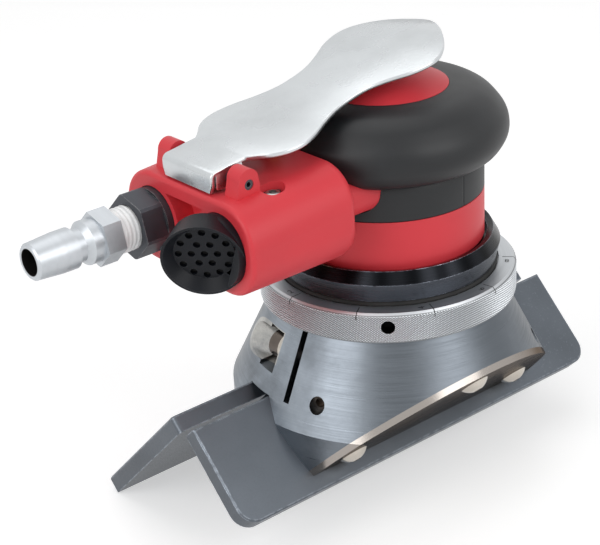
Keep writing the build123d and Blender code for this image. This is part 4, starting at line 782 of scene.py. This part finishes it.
class AIRTOOL_OT_grip(bpy.types.Operator):
    """Mould the rubber grip with its crease, bulge and seam"""

    bl_idname = "airtool.grip"
    bl_label = "Rubber grip"

    def execute(self, context):
        seam = sizes().seam_depth
        skirt = [(UNDER_GRIP_R, SKIRT_PROFILE[0][1]), *SKIRT_PROFILE]
        bulge = [tuple(p) for p in smooth_curve(BULGE_PROFILE, BULGE_STEPS)]
        inside = [(CROWN_R, CROWN_LOW), SHOULDER_TOP]
        inside += [(UNDER_GRIP_R, SHOULDER_HIGH), (UNDER_GRIP_R, SHOULDER_LOW)]
        loop = skirt + bulge + inside

        def place(r, h, angle, i):
            jog = min(max((h - SEAM_JOG_LOW) / (SEAM_JOG_HIGH - SEAM_JOG_LOW), 0.0), 1.0)
            turned = angle + SEAM_ANGLE + SEAM_JOG * jog
            on_seam = angle < 1e-6 and 0 < i < len(skirt) + len(bulge) and h < SEAM_END
            groove = seam if on_seam else 0.0
            return ((r * MM - groove) * cos(turned), (r * MM - groove) * sin(turned), h * MM)

        bm = closed_lathe(loop, GRIP_STEPS, place)
        piece = new_piece("rubber_grip", bm, "tool", grip_rubber())
        cut(piece, neck_cutter(NECK_SLACK))
        shade_by_angle(piece, 32)
        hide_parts("grip")
        return {"FINISHED"}


RING_BORE_R = 31.55
RING_R = 40.0
RING_LOW = 27.0
RING_TOP = 36.7
# (radius, height) of the ring's edges below and above the knurl
RING_FOOT = ((39.2, RING_LOW), (39.65, 27.3), (39.65, 27.7))
RING_CROWN = ((39.7, 35.95), (39.0, RING_TOP))
KNURL_LOW = 27.8
KNURL_TOP = 35.7
KNURL_FLATNESS = 0.68
SPANNER_ANGLE = radians(-132.8)
SPANNER_Z = 32.43
SPANNER_R = 2.1
SPANNER_DEEP = 4.5
SPANNER_COUNT = 4
SCALE_FIRST = radians(-12.2)
SCALE_STEP = radians(-33.5)
SCALE_NUMERALS = ("10", "8", "6", "4", "", "2", "0")
# (radius, height) of a scale line: along the top, over the bevel and down the side
SCALE_PATH = ((35.6, 36.72), (39.02, 36.72), (39.75, 35.96), (40.02, 35.6), (40.02, 34.7))
SCALE_HALF_W = 0.13
GROOVE_OUT = 34.55
GROOVE_Z = 35.5
NUMERAL_R = 37.1
NUMERAL_Z = 36.715
NUMERAL_SIZE = 3.0
NUMERAL_BESIDE = radians(-4.5)


def knurled_ring_mesh():
    """The ring as a lathe shape whose outer face is a grid of small pyramids."""
    pitch = sizes().knurl_pitch
    deep = sizes().knurl_depth / MM
    steps = 2 * round(2 * pi * RING_R * MM / pitch)
    rows = 2 * round((KNURL_TOP - KNURL_LOW) * MM / (pitch * KNURL_FLATNESS))
    profile = [(RING_BORE_R, RING_LOW), *RING_FOOT]
    first = len(profile)
    for j in range(rows + 1):
        profile.append((RING_R, KNURL_LOW + (KNURL_TOP - KNURL_LOW) * j / rows))
    last = len(profile) - 1
    profile += [*RING_CROWN, (GROOVE_OUT, RING_TOP)]
    profile += [(GROOVE_OUT, GROOVE_Z), (RING_BORE_R, GROOVE_Z)]
    bm = bmesh.new()
    grid = []
    for k in range(steps):
        angle = 2 * pi * k / steps
        column = []
        for i, (r, z) in enumerate(profile):
            low = first <= i <= last and (i - first + k) % 2
            r -= deep if low else 0.0
            column.append(bm.verts.new((r * MM * cos(angle), r * MM * sin(angle), z * MM)))
        grid.append(column)
    for k in range(steps):
        here, there = grid[k], grid[(k + 1) % steps]
        for i in range(len(profile)):
            j = (i + 1) % len(profile)
            corners = (here[i], there[i], there[j], here[j])
            if not first <= i < last:
                bm.faces.new(corners)
                continue
            # the fold follows the groove, so each diamond stands alone
            if (i - first + k) % 2:
                bm.faces.new((corners[0], corners[1], corners[2]))
                bm.faces.new((corners[0], corners[2], corners[3]))
            else:
                bm.faces.new((corners[1], corners[2], corners[3]))
                bm.faces.new((corners[1], corners[3], corners[0]))
    return bm


def spanner_angles():
    return [SPANNER_ANGLE + turn * 2 * pi / SPANNER_COUNT for turn in range(SPANNER_COUNT)]


def spanner_cutter():
    """Short rods that cut the spanner holes."""
    bm = bmesh.new()
    for angle in spanner_angles():
        spin = Matrix.Rotation(angle, 4, "Z") @ Matrix.Rotation(pi / 2, 4, "Y")
        middle = Vector((RING_R * cos(angle), RING_R * sin(angle), SPANNER_Z)) * MM
        bmesh.ops.create_cone(
            bm,
            cap_ends=True,
            segments=40,
            radius1=SPANNER_R * MM,
            radius2=SPANNER_R * MM,
            depth=2 * SPANNER_DEEP * MM,
            matrix=Matrix.Translation(middle) @ spin,
        )
    return loose_object("spanner_cutter", bm)


def darken_holes(piece):
    """Puts a painted shade, a near-black finish, on the faces inside the spanner holes."""
    piece.data.materials.append(painted_hole_shade())
    for face in piece.data.polygons:
        for angle in spanner_angles():
            out = Vector((cos(angle), sin(angle), 0))
            from_axis = face.center - Vector((0, 0, SPANNER_Z * MM))
            depth = from_axis.dot(out) / MM
            aside = (from_axis - out * depth * MM).length / MM
            if aside < SPANNER_R + 0.05 and RING_BORE_R + 1 < depth < RING_R - 0.45:
                face.material_index = 1


def scale_strip(bm, angle, points, half_w):
    """A thin filled line laid over the ring along points of (radius, height)."""
    side = Vector((-sin(angle), cos(angle), 0)) * half_w
    out = Vector((cos(angle), sin(angle), 0))
    lifted = []
    for r, z in points:
        middle = out * r + Vector((0, 0, z))
        lifted.append((bm.verts.new((middle - side) * MM), bm.verts.new((middle + side) * MM)))
    for (a, b), (c, d) in zip(lifted, lifted[1:]):
        bm.faces.new((a, b, d, c))


class AIRTOOL_OT_depth_ring(bpy.types.Operator):
    """Knurl the depth ring and mark its scale"""

    bl_idname = "airtool.depth_ring"
    bl_label = "Depth ring"

    def execute(self, context):
        piece = new_piece("knurled_depth_ring", knurled_ring_mesh(), "ring_unit", ring_steel())
        cut(piece, spanner_cutter())
        darken_holes(piece)
        shade_by_angle(piece, 20)
        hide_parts("depth_ring")
        ink = scale_ink()
        bm = bmesh.new()
        for index in range(len(SCALE_NUMERALS)):
            angle = SCALE_FIRST + index * SCALE_STEP
            scale_strip(bm, angle, SCALE_PATH, SCALE_HALF_W)
        marks = new_piece("scale_lines", bm, "ring_unit", ink)
        marks.modifiers.new("body", "SOLIDIFY").thickness = 0.03 * MM
        for index, body in enumerate(SCALE_NUMERALS):
            if body:
                self.numeral(body, SCALE_FIRST + index * SCALE_STEP + NUMERAL_BESIDE, ink)
        return {"FINISHED"}

    def numeral(self, body, angle, ink):
        """One figure beside its line, with its top towards the axis."""
        curve = bpy.data.curves.new(f"numeral_{body}", "FONT")
        curve.body = body
        curve.size = NUMERAL_SIZE * MM
        curve.align_x = "CENTER"
        curve.align_y = "CENTER"
        curve.extrude = 0.01 * MM
        text = link_object(curve.name, curve)
        place = Vector((NUMERAL_R * cos(angle), NUMERAL_R * sin(angle), NUMERAL_Z)) * MM
        turn = Matrix.Rotation(angle + pi, 4, "Z")
        bpy.context.view_layer.update()
        mesh = bpy.data.meshes.new_from_object(text)
        mesh.transform(Matrix.Translation(place) @ turn)
        mesh.materials.clear()
        mesh.materials.append(ink)
        bpy.data.objects.remove(text)
        bpy.data.curves.remove(curve)
        figure = link_object(f"numeral_{body}", mesh)
        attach(figure, "ring_unit")


LEVER_CREST = (
    (-73.6, 89.3), (-60.0, 91.3), (-45.0, 93.6), (-30.0, 97.1),
    (-15.0, 101.1), (0.0, 104.6), (12.0, 107.4), (20.3, 108.3),
)
LEVER_SIDE = (
    (-61.5, 11.2), (-59.0, 13.5), (-56.0, 16.6), (-52.0, 18.7),
    (-47.5, 19.3), (-42.0, 18.2), (-36.0, 15.6), (-30.0, 13.6),
    (-24.0, 13.0), (-18.0, 13.6), (-12.0, 16.0), (-6.0, 19.2),
    (0.0, 20.7), (4.5, 20.0), (8.5, 17.5), (12.0, 14.2),
    (15.0, 10.6), (17.6, 7.0), (19.5, 3.5), (20.2, 0.9),
)
LIP_LOW = 83.45
LIP_NARROWER = 0.8
LIP_FLARE = 0.4
BEND_R = 2.0
BEND_STEPS = 8
CREST_SLOPE = 0.13
CREST_STEPS = 10
REAR_X = -73.6
HINGE_XS = (-68.0, -64.5, -62.5)
HINGE_HALF = 11.2
EDGE_ROUND = 0.5
# (x, z) round a cheek
CHEEK_OUTLINE = (
    (-71.9, 84.4), (-71.4, 83.95), (-64.0, 83.95),
    (-62.6, 85.2), (-62.6, 90.2), (-71.9, 88.9),
)
CHEEK_ROUND = 0.3


def crest_height(x):
    """Height of the lever's top over a place along X."""
    line = smooth_curve(LEVER_CREST, CREST_STEPS)
    for a, b in zip(line, line[1:]):
        if a.x <= x <= b.x:
            return a.y + (b.y - a.y) * (x - a.x) / (b.x - a.x)
    return line[0].y if x < line[0].x else line[-1].y


def lever_stations(thickness):
    """Middle line of the sheet from the rear lip to the tip, as (x, z, half width)."""
    half_t = thickness / 2
    x_lip = REAR_X + half_t
    stations = []
    for up in (0.0, 0.5, 1.0, 2.0):
        stations.append((x_lip, LIP_LOW + up, HINGE_HALF - LIP_NARROWER + LIP_FLARE * up))
    centre_x = x_lip + BEND_R - half_t
    centre_z = crest_height(centre_x) - BEND_R
    reach = BEND_R - half_t
    for k in range(BEND_STEPS + 1):
        angle = pi - k / BEND_STEPS * (pi / 2 - CREST_SLOPE)
        stations.append((centre_x + reach * cos(angle), centre_z + reach * sin(angle), HINGE_HALF))
    for x in HINGE_XS:
        stations.append((x, crest_height(x) - half_t, HINGE_HALF))
    for point in smooth_curve(LEVER_SIDE, 4):
        stations.append((point.x, crest_height(point.x) - half_t, point.y))
    return stations


def lever_sheet(thickness):
    """The bent spoon as a sheet with rounded edges, swept along its middle line."""
    stations = lever_stations(thickness)
    half_t = thickness / 2
    bm = bmesh.new()
    rings = []
    for i, (x, z, half_w) in enumerate(stations):
        before = stations[max(i - 1, 0)]
        after = stations[min(i + 1, len(stations) - 1)]
        along = Vector((after[0] - before[0], 0, after[1] - before[1])).normalized()
        up = Vector((-along.z, 0, along.x))
        edge = min(EDGE_ROUND, half_w * 0.6)
        ring = []
        for corner in range(4):
            y_side = 1 if corner in (0, 3) else -1
            z_side = 1 if corner in (0, 1) else -1
            for k in range(4):
                angle = (corner + k / 3) * pi / 2
                y = y_side * (half_w - edge) + edge * cos(angle)
                rise = z_side * (half_t - EDGE_ROUND) + EDGE_ROUND * sin(angle)
                ring.append(bm.verts.new((Vector((x, y, z)) + up * rise) * MM))
        rings.append(ring)
    closed_tube(bm, rings)
    return bm


def add_cheek(bm, side, thickness):
    """A side flange of the lever, which the pin goes through."""
    inner, outer = HINGE_HALF - thickness, HINGE_HALF
    layers = []
    for y in (inner, outer):
        layers.append([bm.verts.new(Vector((x, side * y, z)) * MM) for x, z in CHEEK_OUTLINE])
    edges = {edge for face in closed_tube(bm, layers) for edge in face.edges}
    bmesh.ops.bevel(bm, geom=list(edges), offset=CHEEK_ROUND * MM, segments=2, profile=0.7, affect="EDGES")


class AIRTOOL_OT_lever(bpy.types.Operator):
    """Bend the throttle lever from sheet"""

    bl_idname = "airtool.lever"
    bl_label = "Throttle lever"

    def execute(self, context):
        thickness = sizes().lever_thickness / MM
        bm = lever_sheet(thickness)
        for side in (-1, 1):
            add_cheek(bm, side, thickness)
        piece = new_piece("spoon_lever", bm, "lever_unit", satin_plating())
        shade_by_angle(piece, 50)
        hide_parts("lever")
        return {"FINISHED"}


TAPE_FROM = -89.9
TAPE_TO = -83.9
TAPE_R = 6.42
TAPE_PITCH = 1.34
TAPE_INSIDE_R = 5.9
TAPE_FOLD = 0.05
TAPE_ROWS = 60
TAPE_STEPS = 120


class AIRTOOL_OT_inlet(bpy.types.Operator):
    """Wrap the plug's thread with tape and finish the inlet"""

    bl_idname = "airtool.inlet"
    bl_label = "Air inlet"

    def execute(self, context):
        ridge = sizes().tape_ridge / MM
        length = TAPE_TO - TAPE_FROM
        outside = TAPE_R + ridge * 0.3
        loop = [(outside, TAPE_FROM + length * j / TAPE_ROWS) for j in range(TAPE_ROWS + 1)]
        loop += [(TAPE_INSIDE_R, TAPE_TO), (TAPE_INSIDE_R, TAPE_FROM)]

        def place(r, x, angle, i):
            if i <= TAPE_ROWS:
                thread = sin(2 * pi * (x / TAPE_PITCH) + angle)
                fold = sin(5 * angle + 3.1 * x) * sin(2 * angle - 1.7 * x)
                r += ridge * 0.5 * thread + TAPE_FOLD * fold
            return (x * MM, (PLUG_Y + r * cos(angle)) * MM, (PLUG_Z + r * sin(angle)) * MM)

        bm = closed_lathe(loop, TAPE_STEPS, place)
        piece = new_piece("wrapped_tape", bm, "tool", thread_tape_finish())
        shade_by_angle(piece, 45)
        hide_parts("thread_tape")
        dress(plug_plating(), "air_plug")
        dress(blackened_fitting(), "inlet_bushing")
        return {"FINISHED"}


SPRING_TURNS = 3
SPRING_WIRE_R = 0.4
SPRING_STEPS = 36
WIRE_SIDES = 8


def coil_mesh(centre, mean_r, low, height):
    """A wire spring as one closed tube."""
    bm = bmesh.new()
    steps = SPRING_TURNS * SPRING_STEPS
    rings = []
    for k in range(steps + 1):
        angle = 2 * pi * SPRING_TURNS * k / steps
        out = Vector((cos(angle), sin(angle), 0))
        middle = Vector((centre.x, centre.y, low + height * k / steps)) + out * mean_r
        ring = []
        for i in range(WIRE_SIDES):
            around = 2 * pi * i / WIRE_SIDES
            offset = out * cos(around) + Vector((0, 0, sin(around)))
            ring.append(bm.verts.new(middle + offset * SPRING_WIRE_R * MM))
        rings.append(ring)
    closed_tube(bm, rings)
    return bm


class AIRTOOL_OT_valve_spring(bpy.types.Operator):
    """Wind the valve's spring"""

    bl_idname = "airtool.valve_spring"
    bl_label = "Valve spring"

    def execute(self, context):
        low, high = (Vector(corner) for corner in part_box("valve_spring"))
        centre = (low + high) / 2
        wire = SPRING_WIRE_R * MM
        mean_r = (high.x - low.x) / 2 - wire
        mesh = coil_mesh(centre, mean_r, low.z + wire, high.z - low.z - 2 * wire)
        steel = inner_finish("spring_wire", (0.62, 0.62, 0.63), (0.48, 0.48, 0.49), 1.0, 0.3, 2800.0)
        piece = new_piece("wound_valve_spring", mesh, "tool", steel)
        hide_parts("valve_spring")
        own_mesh(piece)
        return {"FINISHED"}


class AIRTOOL_OT_muffler(bpy.types.Operator):
    """Finish the swivelling muffler"""

    bl_idname = "airtool.muffler"
    bl_label = "Muffler"

    def execute(self, context):
        dress(black_nylon(), "muffler_elbow", "muffler_grille")
        felt = inner_finish("muffler_felt", (0.012, 0.012, 0.012), (0.004, 0.004, 0.004), 0.0, 0.9, 900.0)
        dress(felt, "muffler_felt")
        return {"FINISHED"}


class AIRTOOL_OT_guide(bpy.types.Operator):
    """Finish the guide body, its plates and its cover"""

    bl_idname = "airtool.guide"
    bl_label = "Edge guide"

    def execute(self, context):
        dress(turned_steel(), "guide_body", "nose_sleeve")
        dress(ground_plate(), "near_guide_plate", "far_guide_plate")
        dress(polished_cover(), "side_cover")
        dress(bright_fastener(), "cover_screws", "kerf_washer")
        dress(blackened_ring(), "clamp_ring")
        return {"FINISHED"}


class AIRTOOL_OT_fasteners(bpy.types.Operator):
    """Finish the screws, pins and clips"""

    bl_idname = "airtool.fasteners"
    bl_label = "Fasteners"

    def execute(self, context):
        black = blackened_fitting()
        dress(black, "plate_screws", "clamp_screw", "regulator_clip")
        dress(black, "insert_screws", "cutter_bolt", "lever_pin")
        browned = inner_finish("browned_steel", (0.17, 0.145, 0.125), (0.08, 0.068, 0.06), 1.0, 0.3, 2400.0)
        dress(browned, "kerf_screw", "set_screws")
        zinc = inner_finish("zinc_plated_screw", (0.5, 0.5, 0.49), (0.34, 0.34, 0.34), 1.0, 0.3, 2400.0)
        dress(zinc, "regulator_screw")
        return {"FINISHED"}


BEARINGS = tuple(
    f"{end}_bearing_{part}" for end in ("upper", "lower") for part in ("outer_race", "inner_race", "balls")
)
# finish, light tone, dark tone, metallic, roughness, grain scale, nodes
INNER_WORKS = (
    ("ground_steel", (0.66, 0.66, 0.67), (0.5, 0.5, 0.51), 1.0, 0.28, 3000.0,
     ("spindle", "rotor", "rotor_key", "motor_cylinder", "guide_key", *BEARINGS)),
    ("cast_end_plate", (0.6, 0.6, 0.6), (0.46, 0.46, 0.47), 1.0, 0.5, 1200.0,
     ("upper_end_plate", "lower_end_plate")),
    ("valve_brass", (0.72, 0.5, 0.22), (0.58, 0.4, 0.17), 1.0, 0.32, 2500.0,
     ("valve_stem", "valve_seat", "valve_bushing", "valve_cap", "inlet_strainer")),
    ("seal_rubber", (0.01, 0.01, 0.01), (0.004, 0.004, 0.004), 0.0, 0.75, 2500.0,
     ("inlet_seal", "muffler_seal", "friction_ring")),
    ("cutter_black", (0.1, 0.1, 0.11), (0.05, 0.05, 0.055), 1.0, 0.42, 1800.0, ("cutter_head",)),
    ("coated_carbide", (0.42, 0.22, 0.09), (0.25, 0.12, 0.05), 1.0, 0.35, 3200.0, ("cutter_inserts",)),
    ("vane_resin", (0.24, 0.16, 0.09), (0.15, 0.1, 0.05), 0.0, 0.55, 1500.0, ("rotor_vanes",)),
)


class AIRTOOL_OT_inner_works(bpy.types.Operator):
    """Finish the motor, valve and cutter inside"""

    bl_idname = "airtool.inner_works"
    bl_label = "Inner works"

    def execute(self, context):
        for *look, nodes in INNER_WORKS:
            dress(inner_finish(*look), *nodes)
        return {"FINISHED"}


# ---------------------------------------------------------------- stage
CAMERA_PLACE = (-0.32576, -0.35657, 0.25995)
CAMERA_TURN = (radians(64.76), radians(2.688), radians(-40.442))
CAMERA_LENS = 102.45
CAMERA_SENSOR = 36.0
LIGHTS_AIM = (0, 0, 0.04)
FLOOR_INNER_R = 0.4
FLOOR_OUTER_R = 3.0
FLOOR_SIDES = 48
FLOOR_CLEAR = 0.0002
WORLD_LIGHT = 0.36
WORLD_SEEN = 1.0
LIGHTS = (
    # name, place, size, share of the key light, share of the fill light
    ("left_softbox", (-1.0, -0.14, 0.62), 0.8, 0.6, 0.0),
    ("front_softbox", (0.22, -1.0, 0.6), 0.75, 0.55, 0.0),
    ("overhead_softbox", (0.05, 0.3, 1.1), 1.0, 0.0, 2.2),
)


def seen_directly(graph):
    """Mask of what the camera sees, straight or through a reflection."""
    path = graph.add("ShaderNodeLightPath")
    seen = graph.math("MAXIMUM", path.outputs["Is Camera Ray"], path.outputs["Is Glossy Ray"])
    return graph.math("MAXIMUM", seen, path.outputs["Is Transmission Ray"])


class AIRTOOL_OT_stage(bpy.types.Operator):
    """Set the floor, lights and camera"""

    bl_idname = "airtool.stage"
    bl_label = "Stage"

    def execute(self, context):
        self.camera(context)
        self.floor(context)
        self.lights(context)
        self.world(context)
        context.scene.view_settings.view_transform = "Standard"
        return {"FINISHED"}

    def camera(self, context):
        data = bpy.data.cameras.new("camera")
        data.lens = CAMERA_LENS
        data.sensor_width = CAMERA_SENSOR
        eye = link_object("camera", data)
        eye.location = CAMERA_PLACE
        eye.rotation_euler = CAMERA_TURN
        context.scene.camera = eye

    def floor(self, context):
        low = CAD_BOX[0][2] - FLOOR_CLEAR
        bm = bmesh.new()
        rings = []
        for reach in (FLOOR_INNER_R, FLOOR_OUTER_R):
            turns = [2 * pi * k / FLOOR_SIDES for k in range(FLOOR_SIDES)]
            rings.append([bm.verts.new((reach * cos(turn), reach * sin(turn), low)) for turn in turns])
        bm.faces.new(rings[0])
        for k in range(FLOOR_SIDES):
            j = (k + 1) % FLOOR_SIDES
            bm.faces.new((rings[0][k], rings[0][j], rings[1][j], rings[1][k]))
        floor_piece = link_mesh("floor", bm)
        finish = Finish("pale_floor", Roughness=0.9, Specular_IOR_Level=0.1, Emission_Strength=1.0)
        grain = finish.effect("grain", Grain_Scale=900.0, Tone_Scale=2.0)
        base = tuple(context.scene.air_tool_stage.floor_colour)
        finish.colour(finish.mix(grain["Tone"], shade(base, 0.99), shade(base, 1.01)))
        white = tuple(context.scene.air_tool_stage.floor_lift)
        lift = finish.mix(seen_directly(finish), (0.0, 0.0, 0.0), white)
        finish.join(lift, finish.shader.inputs["Emission Color"])
        floor_piece.data.materials.append(finish.material)

    def lights(self, context):
        stage = context.scene.air_tool_stage
        for name, place, size, key, fill in LIGHTS:
            data = bpy.data.lights.new(name, "AREA")
            data.energy = stage.key_power * key + stage.fill_power * fill
            data.size = size
            lamp = link_object(name, data)
            lamp.location = place
            lamp.rotation_euler = (Vector(LIGHTS_AIM) - Vector(place)).to_track_quat("-Z", "Y").to_euler()

    def world(self, context):
        world = bpy.data.worlds.new("studio")
        world.use_nodes = True
        context.scene.world = world
        graph = Graph(world.node_tree)
        background = world.node_tree.nodes["Background"]
        background.inputs["Color"].default_value = (1, 1, 1, 1)
        strength = graph.ramp(seen_directly(graph), 0.0, 1.0, WORLD_LIGHT, WORLD_SEEN)
        graph.join(strength, background.inputs["Strength"])


class AIRTOOL_PT_panel(bpy.types.Panel):
    """Lists the tool's pieces"""

    bl_idname = "AIRTOOL_PT_panel"
    bl_label = "Air tool"
    bl_space_type = "VIEW_3D"
    bl_region_type = "UI"
    bl_category = "Air tool"

    def draw(self, context):
        for operator in OPERATORS:
            self.layout.operator(operator.bl_idname)
        scene = context.scene
        for group in (scene.air_tool_sizes, scene.air_tool_colours, scene.air_tool_stage):
            for name in group.__annotations__:
                self.layout.prop(group, name)


OPERATORS = (
    AIRTOOL_OT_stage,
    AIRTOOL_OT_housing,
    AIRTOOL_OT_grip,
    AIRTOOL_OT_depth_ring,
    AIRTOOL_OT_lever,
    AIRTOOL_OT_inlet,
    AIRTOOL_OT_valve_spring,
    AIRTOOL_OT_muffler,
    AIRTOOL_OT_guide,
    AIRTOOL_OT_fasteners,
    AIRTOOL_OT_inner_works,
)
CLASSES = (AirToolSizes, AirToolColours, AirToolStage, *OPERATORS, AIRTOOL_PT_panel)


def register():
    for cls in CLASSES:
        bpy.utils.register_class(cls)
    bpy.types.Scene.air_tool_sizes = bpy.props.PointerProperty(type=AirToolSizes)
    bpy.types.Scene.air_tool_colours = bpy.props.PointerProperty(type=AirToolColours)
    bpy.types.Scene.air_tool_stage = bpy.props.PointerProperty(type=AirToolStage)


def unregister():
    del bpy.types.Scene.air_tool_stage
    del bpy.types.Scene.air_tool_colours
    del bpy.types.Scene.air_tool_sizes
    for cls in reversed(CLASSES):
        bpy.utils.unregister_class(cls)


def main():
    register()
    bpy.ops.airtool.stage()
    bpy.ops.airtool.housing()
    bpy.ops.airtool.grip()
    bpy.ops.airtool.depth_ring()
    bpy.ops.airtool.lever()
    bpy.ops.airtool.inlet()
    bpy.ops.airtool.valve_spring()
    bpy.ops.airtool.muffler()
    bpy.ops.airtool.guide()
    bpy.ops.airtool.fasteners()
    bpy.ops.airtool.inner_works()
    bpy.context.view_layer.update()


if __name__ == "__main__":
    main()
